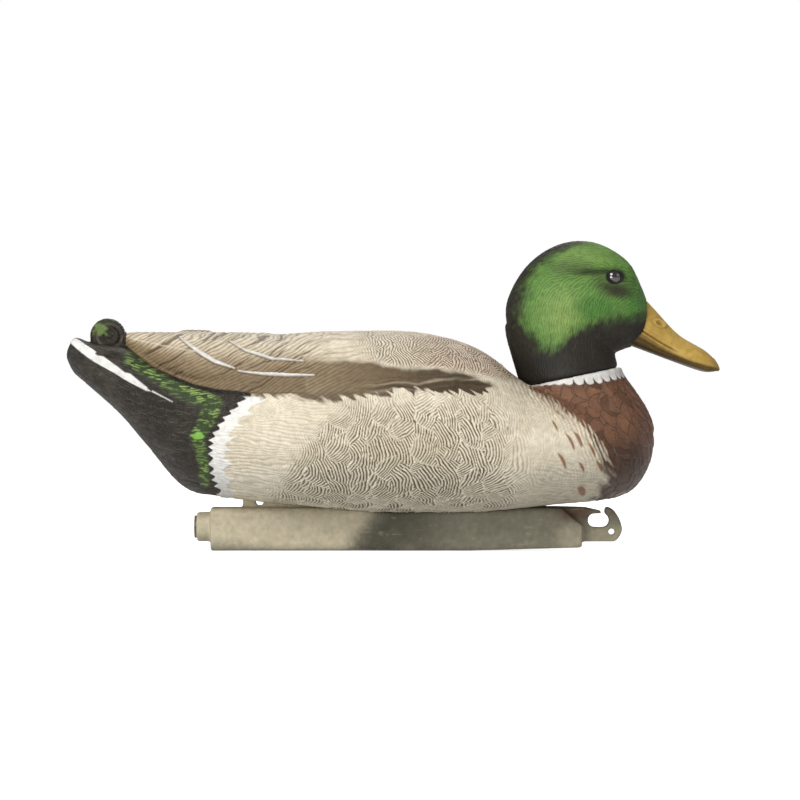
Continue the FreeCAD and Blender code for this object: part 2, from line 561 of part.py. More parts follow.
PARTS = {
    "body_shell": make_body_shell,
    "vent_plug": make_vent_plug,
    "neck_cup": make_neck_cup,
    "head_stem": make_head_stem,
    "friction_ring": make_friction_ring,
    "stem_screws": make_stem_screws,
    "head_shell": make_head_shell,
    "bill": make_bill,
    "left_eye": lambda: make_eye(1),
    "right_eye": lambda: make_eye(-1),
    "keel_shell": make_keel_shell,
    "keel_ballast": make_keel_ballast,
    "keel_plug": make_keel_plug,
    "keel_screws": make_keel_screws,
}


def main():
    os.makedirs("parts", exist_ok=True)
    for name, make in PARTS.items():
        shape = make()
        solids = shape.Solids
        print(f"{name}: {len(solids)} solid(s), {shape.Volume / 1000:.2f} cm3, valid {shape.isValid()}")
        kept = solids[0] if len(solids) == 1 else Part.makeCompound(solids)
        kept.exportStep(f"parts/{name}.step")


main()
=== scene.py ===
import json
import math
from itertools import product

import bmesh
import bpy
import numpy as np
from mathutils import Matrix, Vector
from mathutils.bvhtree import BVHTree


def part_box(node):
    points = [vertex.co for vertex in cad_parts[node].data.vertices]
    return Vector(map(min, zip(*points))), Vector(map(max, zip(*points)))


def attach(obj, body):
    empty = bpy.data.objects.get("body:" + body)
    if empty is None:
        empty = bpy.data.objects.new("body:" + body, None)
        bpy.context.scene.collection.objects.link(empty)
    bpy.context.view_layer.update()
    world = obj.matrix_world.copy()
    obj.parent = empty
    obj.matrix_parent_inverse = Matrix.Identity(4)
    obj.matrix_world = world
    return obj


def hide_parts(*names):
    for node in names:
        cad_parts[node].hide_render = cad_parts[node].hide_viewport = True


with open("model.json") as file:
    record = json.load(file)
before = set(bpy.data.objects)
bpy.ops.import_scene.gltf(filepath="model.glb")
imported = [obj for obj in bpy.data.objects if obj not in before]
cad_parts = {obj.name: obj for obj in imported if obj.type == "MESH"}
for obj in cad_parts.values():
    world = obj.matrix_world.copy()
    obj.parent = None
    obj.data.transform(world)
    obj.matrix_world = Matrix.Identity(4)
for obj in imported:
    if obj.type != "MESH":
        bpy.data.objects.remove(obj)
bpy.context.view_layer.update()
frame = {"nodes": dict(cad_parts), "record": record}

MM = 0.001       # metres in a millimetre
TO_MM = 1000     # millimetres in a metre
NODES = frame["nodes"]
JOINTS = {j["name"]: j for j in frame["record"]["behaviour"]["joints"]}

# The neck joint, in millimetres: the point and direction that the head turns about.
NECK = np.array(JOINTS["head_turn"]["pos_m"], np.float32) * TO_MM
NECK_UP = np.array(JOINTS["head_turn"]["axis"], np.float32)

# The painted skins, in millimetres: how fine each is, and how far relief may sink and rise.
HULL_VOXEL, HEAD_VOXEL, BILL_VOXEL, KEEL_VOXEL = 1.05, 0.9, 0.7, 1.0
HULL_RELIEF, HEAD_RELIEF = (-1.2, 2.2), (-1.2, 1.8)


# ------------ numbers

def linear(red, green, blue):
    """A colour as it looks on a screen, 0 to 255, in the linear values that a shader takes."""
    c = np.array([red, green, blue], np.float32) / 255
    return np.where(c < 0.04045, c / 12.92, ((c + 0.055) / 1.055) ** 2.4)


def ramp(value, start, end):
    """0 before start, 1 after end, and a smooth step between. Start may be above end."""
    t = np.clip((value - start) / (end - start), 0, 1)
    return t * t * (3 - 2 * t)


def bump_at(value, centre, half):
    """1 at centre, falling smoothly to 0 at half on both sides."""
    return ramp(np.abs(value - centre), half, 0)


def blend(base, other, amount):
    """Mixes rows of colours: amount is one number for each row."""
    return base + (other - base) * np.clip(amount, 0, 1)[:, None]


def coats(colour, *layers):
    """Blends one layer after another over a colour, each given as its paint and its amount."""
    for paint, amount in layers:
        colour = blend(colour, paint, amount)
    return colour


def over(base, other, amount):
    """Mixes rows of single numbers."""
    return base * (1 - amount) + other * amount


def oval(x, z, middle_x, middle_z, half_x, half_z):
    """Distance from the middle of an oval in the side view: 1 on its outline."""
    return np.hypot((x - middle_x) / half_x, (z - middle_z) / half_z)


def scramble(cells, salt):
    """A fixed pseudo-random number from 0 to 1 for each row of whole numbers."""
    h = (cells[:, 0] * 73856093) ^ (cells[:, 1] * 19349663) ^ (cells[:, 2] * 83492791)
    h = (h ^ (salt * 40503 + 977)) & 0x7FFFFFFF
    h = ((h ^ (h >> 15)) * 2246822519) & 0x7FFFFFFF
    h = ((h ^ (h >> 13)) * 3266489917) & 0x7FFFFFFF
    return (((h ^ (h >> 16)) & 0xFFFFFF) / 0xFFFFFF).astype(np.float32)


def noise(points, size, salt=0):
    """Smooth noise from 0 to 1 over points, with lumps about size millimetres wide."""
    q = points / np.array(size, np.float32)
    cell = np.floor(q).astype(np.int64)
    f = (q - cell).astype(np.float32)
    f = f * f * (3 - 2 * f)
    total = np.zeros(len(points), np.float32)
    for corner in product((0, 1), repeat=3):
        weight = np.ones(len(points), np.float32)
        for axis in range(3):
            weight = weight * (f[:, axis] if corner[axis] else 1 - f[:, axis])
        total += weight * scramble(cell + np.array(corner), salt)
    return total


def layered(points, size, salt=0):
    """Three octaves of noise, from 0 to 1."""
    return (noise(points, size, salt) * 4 + noise(points, np.array(size) / 2, salt + 1) * 2
            + noise(points, np.array(size) / 4, salt + 2)) / 7


def unit(rows):
    return rows / np.maximum(np.linalg.norm(rows, axis=1), 1e-6)[:, None]


def dots(a, b):
    return np.einsum("ij,ij->i", a, b)


def along_surface(direction, normals):
    """The given directions, laid flat on the surface and made one unit long."""
    return unit(direction - normals * dots(direction, normals)[:, None])


def line_height(points, x):
    """Height of a side-view line, given by (x, z) points, at each x."""
    xs, zs = zip(*points)
    return np.interp(x, xs, zs)


# ------------ meshes

def welded(node):
    """A CAD node's mesh as a bmesh, with its doubled points joined."""
    bm = bmesh.new()
    bm.from_mesh(NODES[node].data)
    bmesh.ops.remove_doubles(bm, verts=bm.verts, dist=1e-6)
    bm.normal_update()
    return bm


def placed(name, data):
    """A new object of the scene."""
    ob = bpy.data.objects.new(name, data)
    bpy.context.scene.collection.objects.link(ob)
    return ob


# Rays that test whether a face looks outwards: how many lean off its normal on each of two
# circles, how far they lean, where they start above the face, and how many have to get away.
RAYS, RAY_LEAN, RAY_START, RAYS_FREE = 6, 0.75, 0.04 * MM, 2


def outer_skin(node, closing_nodes):
    """The outside of a hollow moulding, as a closed form without its inner walls.

    The closing nodes fill the moulding's openings, so that no ray from inside gets away.
    """
    bm = welded(node)
    everything = bm.copy()
    for other in closing_nodes:
        everything.from_mesh(NODES[other].data)
    tree = BVHTree.FromBMesh(everything)
    everything.free()
    tilts = [Vector((0, 0, 0))]
    for k in range(RAYS):
        turn = math.tau * k / RAYS
        tilts.append(Vector((math.cos(turn), math.sin(turn), 0.0)) * RAY_LEAN)
        tilts.append(Vector((0.0, math.cos(turn), math.sin(turn))) * RAY_LEAN)
    inner = []
    for face in bm.faces:
        start = face.calc_center_median() + face.normal * RAY_START
        free = 0
        for tilt in tilts:
            way = (face.normal + tilt).normalized()
            if tree.ray_cast(start, way)[0] is None:
                free += 1
                if free == RAYS_FREE:
                    break
        if free < RAYS_FREE:
            inner.append(face)
    bmesh.ops.delete(bm, geom=inner, context="FACES")
    keep_largest(bm)
    edges = [e for e in bm.edges if e.is_boundary]
    bmesh.ops.holes_fill(bm, edges=edges, sides=0)
    bmesh.ops.triangulate(bm, faces=[f for f in bm.faces if len(f.verts) > 4])
    bmesh.ops.recalc_face_normals(bm, faces=bm.faces)
    return bm


def keep_largest(bm):
    """Deletes every loose island of faces but the largest."""
    bm.faces.ensure_lookup_table()
    islands = []
    seen = set()
    for face in bm.faces:
        if face.index in seen:
            continue
        island, queue = [], [face]
        seen.add(face.index)
        while queue:
            here = queue.pop()
            island.append(here)
            for edge in here.edges:
                for near in edge.link_faces:
                    if near.index not in seen:
                        seen.add(near.index)
                        queue.append(near)
        islands.append(island)
    islands.sort(key=len)
    for island in islands[:-1]:
        bmesh.ops.delete(bm, geom=island, context="FACES")
    loose = [v for v in bm.verts if not v.link_faces]
    bmesh.ops.delete(bm, geom=loose, context="VERTS")


def applied(bm, make_modifiers):
    """Runs modifiers over a bmesh and gives the result back as a bmesh."""
    mesh = bpy.data.meshes.new("working")
    bm.to_mesh(mesh)
    bm.free()
    working = placed("working", mesh)
    make_modifiers(working)
    graph = bpy.context.evaluated_depsgraph_get()
    done = bmesh.new()
    done.from_mesh(bpy.data.meshes.new_from_object(working.evaluated_get(graph)))
    bpy.data.objects.remove(working)
    bpy.data.meshes.remove(mesh)
    return done


def remeshed(bm, voxel, smoothing=6):
    """An even quad skin over a closed form, relaxed so that no facet of the source shows."""
    def modifiers(ob):
        m = ob.modifiers.new("remesh", "REMESH")
        m.mode = "VOXEL"
        m.voxel_size = voxel * MM
        s = ob.modifiers.new("relax", "SMOOTH")
        s.factor = 0.5
        s.iterations = smoothing
    return applied(bm, modifiers)


def divided(bm):
    """Splits every face in four and rounds the result."""
    def modifiers(ob):
        m = ob.modifiers.new("divide", "SUBSURF")
        m.levels = 1
        m.boundary_smooth = "PRESERVE_CORNERS"
    return applied(bm, modifiers)


def left_half(bm):
    """Keeps what lies at Y above 0, cut flat at Y = 0."""
    geom = bm.verts[:] + bm.edges[:] + bm.faces[:]
    bmesh.ops.bisect_plane(bm, geom=geom, dist=1e-7, plane_co=(0, 0, 0), plane_no=(0, 1, 0),
                           clear_inner=True)
    bmesh.ops.remove_doubles(bm, verts=bm.verts, dist=2e-5)
    return bm


def arrays(bm):
    """A bmesh as its places in millimetres, its normals and a mesh. The bmesh is freed."""
    mesh = bpy.data.meshes.new("arrays")
    bm.to_mesh(mesh)
    bm.free()
    count = len(mesh.vertices)
    places = np.empty(count * 3, np.float32)
    mesh.vertices.foreach_get("co", places)
    normals = np.empty(count * 3, np.float32)
    mesh.vertex_normals.foreach_get("vector", normals)
    return places.reshape(-1, 3) * TO_MM, normals.reshape(-1, 3), mesh


def displaced(mesh, places, paint, relief, name, material, flip=False):
    """An object with the mesh's faces, new places in millimetres, and its paint as attributes."""
    made = mesh.copy()
    made.name = name
    out = places * MM
    if flip:
        out = out * np.array([1, -1, 1], np.float32)
    made.vertices.foreach_set("co", out.astype(np.float32).ravel())
    if flip:
        made.flip_normals()
    colour = made.color_attributes.new("paint", "FLOAT_COLOR", "POINT")
    rgba = np.ones((len(places), 4), np.float32)
    rgba[:, :3] = paint
    colour.data.foreach_set("color", rgba.ravel())
    height = made.attributes.new("relief", "FLOAT", "POINT")
    height.data.foreach_set("value", relief.astype(np.float32))
    made.polygons.foreach_set("use_smooth", np.ones(len(made.polygons), bool))
    made.update()
    made.materials.append(material)
    return placed(name, made)


# ------------ feathers

# How far a feather's middle strays in its cell, how far it runs back from its middle as a share
# of its length, and how far off the surface it still counts as a share of the pitch.
FEATHER_STRAY, FEATHER_BACK, FEATHER_RISE = 0.5, 0.55, 0.75


def feathers(points, normals, flow, mask, pitch, length, width, salt):
    """Lays overlapping feathers over the surface, like tiles whose front ones lie on top.

    For each point in mask it gives the feather's own number, from 0 to 1, and in millimetres the
    distance from its middle towards its tip (u) and across it (v), and how far inside its edge
    the point is.
    """
    index = np.nonzero(mask)[0]
    spots, outward, way = points[index], normals[index], flow[index]
    side = np.cross(outward, way)
    cell = np.floor(spots / pitch).astype(np.int64)
    rank = np.full(len(index), -1e9, np.float32)
    found = np.zeros((4, len(index)), np.float32)
    reach = int(math.ceil(length * FEATHER_BACK / pitch))
    for offset in product(range(-reach, reach + 1), repeat=3):
        c = cell + np.array(offset)
        jitter = np.stack([scramble(c, salt + k) for k in range(3)], 1) - 0.5
        centre = (c + 0.5 + FEATHER_STRAY * jitter).astype(np.float32) * pitch
        d = spots - centre
        du = dots(d, way)
        dv = dots(d, side)
        rho = np.sqrt((np.maximum(du, 0) / (length * 0.5)) ** 2 + (dv / (width * 0.5)) ** 2)
        order = -dots(centre, way)
        better = (rho < 1) & (du > -length * FEATHER_BACK) & (order > rank)
        better &= np.abs(dots(d, outward)) < pitch * FEATHER_RISE
        rank[better] = order[better]
        row = np.stack([scramble(c, salt + 7), du, dv, (1 - rho) * width * 0.5])
        found[:, better] = row[:, better]
    full = np.zeros((4, len(points)), np.float32)
    full[:, index] = found
    return full


def stripes(distance, spacing):
    """Rounded ridges from -1 to 1."""
    return np.sin(distance * (math.tau / spacing))


def engraved(points, number, u, v, spacing, lean, salt):
    """Fingerprint-like ridges that keep one direction within a feather and waver a little."""
    angle = lean[0] + (lean[1] - lean[0]) * number
    waver = (layered(points, 11.0, salt) - 0.5) * 5.0
    across = u * np.cos(angle) + v * np.sin(angle) + waver
    bend = 0.02 * (v * np.cos(angle) - u * np.sin(angle)) ** 2
    return stripes(across - bend, spacing)


class Lines:
    """Marks drawn in the side view, carried onto the near-side surface and measured in space."""

    def __init__(self, bm):
        self.tree = BVHTree.FromBMesh(bm)

    def carried(self, outline, step=1.0):
        """Points every step millimetres along a side-view line, laid on the half at Y above 0."""
        eye = Vector(VIEWER) * MM
        rows = []
        for (x0, z0), (x1, z1) in zip(outline, outline[1:]):
            pieces = max(1, int(math.hypot(x1 - x0, z1 - z0) / step))
            for k in range(pieces):
                t = k / pieces
                aim = Vector((x0 + (x1 - x0) * t, 0.0, z0 + (z1 - z0) * t)) * MM
                hit = self.tree.ray_cast(eye, aim - eye)[0]
                if hit is not None:
                    rows.append(np.array(hit) * TO_MM)
        return np.array(rows, np.float32)

    def distance(self, points, outline, reach=12.0):
        """Distance to the line, how far along it that is (0 to 1), and the height over it."""
        track = self.carried(outline)
        near = np.full(len(points), 1e3, np.float32)
        where = np.zeros(len(points), np.float32)
        over = np.zeros(len(points), np.float32)
        box = np.all((points > track.min(0) - reach) & (points < track.max(0) + reach), axis=1)
        index = np.nonzero(box)[0]
        best = np.full(len(index), 1e6, np.float32)
        spot = np.zeros(len(index), np.int64)
        for k, place in enumerate(track):
            d = ((points[index] - place) ** 2).sum(1)
            closer = d < best
            best[closer] = d[closer]
            spot[closer] = k
        near[index] = np.sqrt(best)
        where[index] = spot / (len(track) - 1)
        over[index] = points[index, 2] - track[spot, 2]
        return near, where, over


# ------------ the hull

CREAM = linear(224, 212, 188)
CREAM_LIGHT = linear(236, 226, 204)
# A paler cream, painted on the low flank as painted bounce light from the floor.
CREAM_PAINTED_BOUNCE = linear(246, 236, 214)
CREAM_WARM = linear(210, 190, 168)
GROOVE = linear(86, 72, 48)
CHESTNUT = linear(120, 86, 66)
CHESTNUT_DARK = linear(50, 31, 21)
CHESTNUT_LIGHT = linear(150, 104, 76)
WING_BROWN = linear(150, 131, 103)
WING_GOLD = linear(114, 96, 70)
WING_LIGHT = linear(226, 212, 186)
WING_DARK = linear(78, 62, 42)
SCAPULAR = linear(106, 90, 68)
SCAPULAR_DARK = linear(58, 48, 34)
WHITE = linear(238, 236, 230)
SOOT = linear(42, 37, 30)
SOOT_LIGHT = linear(98, 92, 82)
SOOT_DARK = linear(24, 20, 16)
SPECKLE = linear(146, 174, 96)
SPECKLE_BRIGHT = linear(128, 186, 78)
GREEN_SHADE = linear(52, 72, 36)
LOW_SHADE = linear(142, 138, 118)
DASH_BROWN = linear(132, 82, 52)

# The side view that the marks are laid out in: where its viewer stands, in millimetres.
VIEWER = (4.06, 2000.0, 101.5)

# Lines in that view, as (x, z) on the middle plane.
WING_EDGE = [(-186, 141), (-180, 137.5), (-175, 132.5), (-164, 124), (-149, 117.2), (-135, 111.8),
             (-120, 108.6), (-108, 107.6), (-95.5, 105.8)]
SHAFT_LOWER = [(-144.5, 143.2), (-140, 139.6), (-132.8, 134.5), (-121, 127.5), (-107.2, 122.8)]
SHAFT_LOWER_END = [(-105, 121.2), (-88.5, 118.8), (-70, 118.4), (-53, 118.2)]
SHAFT_UPPER = [(-110.7, 140.6), (-100.2, 134.7), (-82.7, 129.4), (-60.6, 127.6)]
QUILL_BACK = [(-178, 143), (-158, 138.5), (-140, 135), (-130, 134)]
BAND_UPPER = [(-100, 131), (-60, 127.5), (-31, 128.2), (-10, 126), (0, 123.4), (29.6, 122.3),
              (54.5, 118.6), (66, 115.8), (74, 113)]
BAND_LOWER = [(-98, 106), (-72, 106.5), (-48, 103), (-17, 106), (6, 110.4), (45, 110.2), (57, 107),
              (66, 108.6), (74, 112.6)]
# The white band ahead of the rump, upwards: z, the x of its middle, and half its width.
RUMP_BAND = [(41, -115.5, 2.6), (50, -118.4, 3.8), (59, -119.2, 4.2), (68, -119, 4.7),
             (76, -117.8, 4.9), (89, -109.5, 4.9), (102, -96.5, 4.8)]
# The tail's white edge, as (x, z).
TAIL_STRIPE = [(-216.5, 142), (-209, 135.6), (-201, 129.8), (-188, 122.4), (-176.5, 115),
               (-165, 108.2), (-149, 99.9)]
# The breast's rear edge, upwards, as (z, x).
BREAST_EDGE = [(33, 134), (50, 146.1), (68.6, 142), (82.7, 130.6), (96.7, 109), (109, 92),
               (124, 86)]
# The brown dashes: x, z, length and breadth, and the angle that they lean at.
DASHES = [(119.7, 73.5, 14, 2.2), (125, 75, 13, 2.6), (114.1, 60.8, 13, 2.6), (127, 56.5, 8, 2.4),
          (127, 40.5, 8, 5.5), (134, 68, 12, 2.0), (139, 57, 9, 2.4), (109, 84, 9, 1.6)]
DASH_LEAN = 1.09
# Where the green flecks run, as x, z and reach, and the brightest of them.
FLECK_PATH = [(-178, 130, 7), (-160, 119, 8), (-144, 108, 8), (-122, 99, 8), (-128, 85, 7),
              (-133, 77, 6), (-129, 60, 5), (-128, 46, 4.5)]
FLECK_PATCH = (-132.8, 77.0)
BARB_SLOPE = math.radians(29)      # the slope of the wing's barbs
RING_SCALLOP = 0.19      # radians round the neck for each scallop of the white ring
CURL = (-193.6, 144.3)   # the middle of the tail curl


def seen(p):
    """Where each point shows in the side view, as x and z on the middle plane."""
    scale = VIEWER[1] / (VIEWER[1] - np.abs(p[:, 1]))
    return VIEWER[0] + (p[:, 0] - VIEWER[0]) * scale, VIEWER[2] + (p[:, 2] - VIEWER[2]) * scale


def hull_flow(points, normals):
    """The way the hull's feathers lie: towards the tail, and a little down on the flanks."""
    way = np.zeros_like(points)
    way[:, 0] = -1
    way[:, 2] = -0.12 + 0.5 * ramp(points[:, 0], -110, -200) * ramp(points[:, 2], 60, 110)
    breast = ramp(points[:, 0], 135, 172)
    way[:, 2] -= breast * 0.9
    return along_surface(way, normals)


def streaked(p, x, z, slope, long, thin, salt):
    """Noise drawn out along a slope in the side view, from 0 to 1."""
    along = x * math.cos(slope) + z * math.sin(slope)
    off = z * math.cos(slope) - x * math.sin(slope) + (layered(p, 16.0, salt + 9) - 0.5) * 6
    return noise(np.stack([along, off, p[:, 1]], 1).astype(np.float32), (long, thin, 30), salt)


def sharp_teeth(distance, pitch):
    """A row of points, from 0 between them to 1 at their tips."""
    return 1 - 2 * np.abs((distance / pitch) % 1 - 0.5)


def hull_zones(p, x, z):
    """How much each point belongs to each zone of the plumage, 0 to 1."""
    wobble = (layered(p, 7.0, 3) - 0.5) * 4
    zones = {}
    over_wing = z > line_height(WING_EDGE, x)
    wing = over_wing * (x < -60) + ramp(x, -30, -70) * (z > 118) * (x >= -60)
    zones["wing"] = np.clip(wing, 0, 1) * (x > -187)

    rows = np.array(RUMP_BAND)
    band_x, band_half = np.interp(z, rows[:, 0], rows[:, 1]), np.interp(z, rows[:, 0], rows[:, 2])
    zones["aft"] = ramp(x - band_x, 0.6, -0.6) * (1 - zones["wing"])
    shuffle = 3.0 * (noise(p, 11.0, 12) - 0.5)
    fringe = 3.6 * sharp_teeth(z + shuffle, 5.1) ** 1.3
    spikes = (6.5 * sharp_teeth(z + 2 * shuffle + 1.5, 9.0) ** 4
              + 1.6 * sharp_teeth(z - shuffle, 4.2))
    left, right = band_x - band_half - fringe + 1.4, band_x + band_half + spikes - 0.6
    zones["band"] = ramp(x, left - 0.4, left + 0.4) * ramp(x, right + 0.6, right - 0.6)
    zones["band"] *= (1 - zones["wing"]) * ramp(z, 104.5, 102.5)

    top, low = line_height(BAND_UPPER, x), line_height(BAND_LOWER, x)
    pinch = ramp(x, 44, 76) ** 1.3 * (0.35 * top + 0.65 * low - np.stack([top, low]))
    top, low = top + pinch[0], low + 0.9 * pinch[1]
    tooth = ((x + 9 * (noise(p, (30, 30, 30), 20) - 0.5)) / 15.0) % 1
    fringe = streaked(p, x, z, -0.6, 9.0, 1.5, 21)
    wisps = 3.2 * tooth ** 3 * ramp(x, -40, 10) + 4.2 * ramp(fringe, 0.3, 0.8)
    soft = 0.9 + 1.8 * ramp(x, -20, -60)
    zones["scapular"] = (ramp(z, low - wisps - soft, low - wisps + soft)
                         * ramp(z, top + 2.2 + wobble, top - 2.2 + wobble)
                         * ramp(x, 71, 64) * ramp(x, -100, -92))

    edge = np.interp(z, [b[0] for b in BREAST_EDGE], [b[1] for b in BREAST_EDGE])
    comb = 2.6 * stripes(0.93 * x + 0.36 * z + wobble, 2.4) * ramp(z, 48, 74)
    comb = comb + 9 * (streaked(p, x, z, -0.9, 14, 2.2, 24) - 0.5)
    zones["breast"] = ramp(x - edge + 1.6 * wobble + comb, -4, 4) * (p[:, 2] < 125)
    zones["mixed"] = ramp(x - edge + wobble, -26, -2)

    h = dots(p - NECK, np.broadcast_to(NECK_UP, p.shape))
    outward = p - NECK - NECK_UP * h[:, None]
    radial = np.linalg.norm(outward, axis=1)
    angle = np.arctan2(outward[:, 1], outward[:, 0])
    slit = sharp_teeth(angle + 0.05 * (noise(p, 9.0, 31) - 0.5), RING_SCALLOP) ** 5
    depth = 6.4 * ramp(x, 96, 142) + 0.6 + 0.7 * sharp_teeth(angle + 0.09, RING_SCALLOP)
    zones["ring"] = ramp(h + depth - 4.2 * slit * ramp(x, 112, 124), -0.4, 0.4)
    zones["ring"] *= (radial < 41) * (h > -10) * ramp(x, 90, 104)
    zones["collar"] = ramp(h, -12, -2) * (radial < 45)
    zones["flank"] = (1 - zones["wing"]) * (1 - zones["scapular"]) * (1 - zones["aft"])
    return zones


def flank_layer(p, n, flow, x, z, zones):
    """Engraved fingerprint patches, fading to hair lines at the rear and the front."""
    number, u, v, inside = feathers(p, n, flow, zones["flank"] > 0, 15.0, 48, 27, 101)
    ridges = engraved(p, number, u, v, 1.75 + 0.4 * ramp(z, 78, 46), (-0.35, 0.8), 51)
    rim = ramp(inside, 1.3, 0.2) * (number > 0.45)
    coarse = ramp(z, 108, 78) * ramp(x, -100, -40) * ramp(x, 104, 62)
    front = ramp(x, 42, 88)
    rear = ramp(x + 0.75 * (95 - z), -28, -50)
    strength = np.clip(0.28 + 0.72 * coarse, 0, 1) * zones["flank"] * (1 - 0.92 * rear)
    strength = strength * (1 - 0.62 * front) * (0.6 + 0.6 * layered(p, 15.0, 81))
    strength = strength * (1 + 0.45 * ramp(z, 70, 48))
    slope = -0.10 + 0.35 * ramp(x, -60, -100) * ramp(z, 80, 110)
    hairs = stripes(z * 0.98 - x * slope + (layered(p, (26, 9, 9), 90) - 0.5) * 9, 2.3)
    fine = zones["flank"] * np.clip(rear + ramp(x, 82, 108) * ramp(z, 72, 52), 0, 1)
    rise = 0.30 * strength * ridges + 0.30 * rim * strength + 0.22 * u / 17 + 0.12 * fine * hairs

    broken = 0.6 + 0.5 * ramp(layered(p, (3.2, 3.2, 3.2), 84), 0.35, 0.55)
    carved = np.clip(0.2 - ridges, 0, 1) ** 1.1 * broken
    colour = coats(
        CREAM,
        (CREAM_LIGHT, 0.6 * ramp(layered(p, 24.0, 77), 0.35, 0.7)),
        # paler towards the bottom of the flank: painted bounce light from the floor
        (CREAM_PAINTED_BOUNCE, 0.8 * ramp(z, 66, 46)),
        (GROOVE, np.clip(1.75 * strength * carved, 0, 0.97)),
        (CREAM_LIGHT, 0.6 * rim * strength),
        (GROOVE, 0.30 * fine * np.clip(-hairs, 0, 1) ** 2),
        (LOW_SHADE, 0.25 * ramp(z, 80, 46) * ramp(x, 74, 104)))
    return rise, colour


def back_layer(p, n, flow, x, z, mask):
    """The back: fine ridges towards the neck, smooth wavy folds towards the wings."""
    number, u, v, _ = feathers(p, n, flow, mask > 0, 12.0, 40, 26, 201)
    ridges = engraved(p, number, u, v, 1.95, (-0.5, 0.5), 61)
    ridged = ramp(x + 0.5 * (z - 138), -38, -8) * ramp(x, 92, 76)
    folds = layered(np.stack([x, z, p[:, 1] * 0.6], 1).astype(np.float32), (34, 9, 9), 95)
    crease = ramp(np.abs(folds - 0.5), 0.035, 0.008) * (1 - ridged) * ramp(x, -90, -60)
    crease = crease + 0.8 * ramp(np.abs(folds - 0.38), 0.02, 0.004) * ramp(z, 140, 128)
    streak = streaked(p, x, z, 0.12, 24, 1.5, 210)
    rise = 0.22 * ridged * ridges + 1.4 * (folds - 0.5) * (1 - 0.6 * ridged) - 0.4 * crease
    rise = rise + 0.2 * u / 20 + 0.16 * (streak - 0.5) * (1 - ridged)

    # Darker along the middle of the back.
    midline_dark = ramp(np.abs(p[:, 1]), 10, 4) * ramp(x, 20, 44) * ramp(p[:, 2], 105, 112)
    colour = coats(
        CREAM,
        (CREAM_WARM, ramp(x, -10, 40)),
        (GROOVE, 0.95 * ridged * np.clip(0.15 - ridges, 0, 1)),
        (GROOVE, 0.7 * np.clip(crease, 0, 1)),
        (WING_LIGHT, 0.5 * (1 - ridged)),
        (WING_BROWN, 0.6 * (1 - ridged) * ramp(streak, 0.5, 0.8)),
        (WING_DARK, 0.85 * midline_dark))
    return rise, colour


def breast_layer(p, n, flow, z, zones):
    """Broad overlapping scales."""
    number, u, v, inside = feathers(p, n, flow, zones["mixed"] > 0, 9.5, 23, 18, 301)
    barbs = stripes(u * 0.35 + np.abs(v) * 0.95, 1.9)
    rise = 0.62 * u / 11 - 0.42 * ramp(inside, 0.8, 0) + 0.05 * barbs
    colour = coats(
        CHESTNUT,
        (CHESTNUT_LIGHT, 0.45 * ramp(inside, 0.6, 3) * ramp(number, 0.3, 1)),
        (CHESTNUT_DARK, 0.45 * ramp(number, 0.4, 0)),
        (CHESTNUT_DARK, 0.16 * np.clip(-barbs, 0, 1)),
        (CHESTNUT_DARK, 0.8 * ramp(inside, 0.75, 0.05)),
        # darker towards the bottom of the breast: painted shade
        (CHESTNUT_DARK, 0.85 * ramp(z, 88, 52) * ramp(layered(p, 20.0, 305), 0.1, 0.4)))
    return rise, colour


def wing_layer(p, x, z):
    """Flight feathers: close barbs along one slope, and long dark splits between feathers."""
    bent = BARB_SLOPE - 0.16
    off = z * math.cos(BARB_SLOPE) - x * math.sin(BARB_SLOPE)
    off = off + (layered(p, 22.0, 98) - 0.5) * 7
    barbs = stripes(off, 2.2)
    splits = ramp(streaked(p, x, z, BARB_SLOPE, 36, 1.15, 401), 0.70, 0.82)
    tones = streaked(p, x, z, bent, 44, 5.0, 420)
    rise = 0.14 * barbs - 0.5 * splits + 0.9 * (tones - 0.5)
    return barbs, splits, tones, rise


def quill_marks(p, lines):
    """The white feather shafts, the faint one behind them, and a painted shadow line below each.
    """
    quills = np.zeros(len(p), np.float32)
    below = np.zeros(len(p), np.float32)
    for outline, half in ((SHAFT_LOWER, 1.35), (SHAFT_LOWER_END, 1.15), (SHAFT_UPPER, 1.0)):
        near, where, over = lines.distance(p, outline)
        taper = half * (0.4 + 0.6 * np.sin(np.pi * np.clip(where, 0.06, 0.94)))
        quills = np.maximum(quills, ramp(near - taper, 0.35, -0.35))
        # a painted shadow just under each raised shaft
        below = np.maximum(below, ramp(near - taper, 1.5, 0.2) * (over < 0))
    near = lines.distance(p, QUILL_BACK)[0]
    return quills, below * (1 - quills), ramp(near, 1.0, 0.3)


def tail_stripe(p, lines):
    """The white edge of the tail: smooth below, long steps above, and a thin end."""
    near, where, over = lines.distance(p, TAIL_STRIPE)
    half = np.interp(where, [0, 0.1, 0.5, 0.74, 0.78, 1], [3.0, 3.1, 2.9, 1.9, 0.55, 0.35])
    step = np.interp((where * 3.6) % 1, [0, 0.82, 1], [0, 1.5, 0]) * (where > 0.2) * (where < 0.8)
    return ramp(near - half + step * (over > 0), 0.35, -0.35)


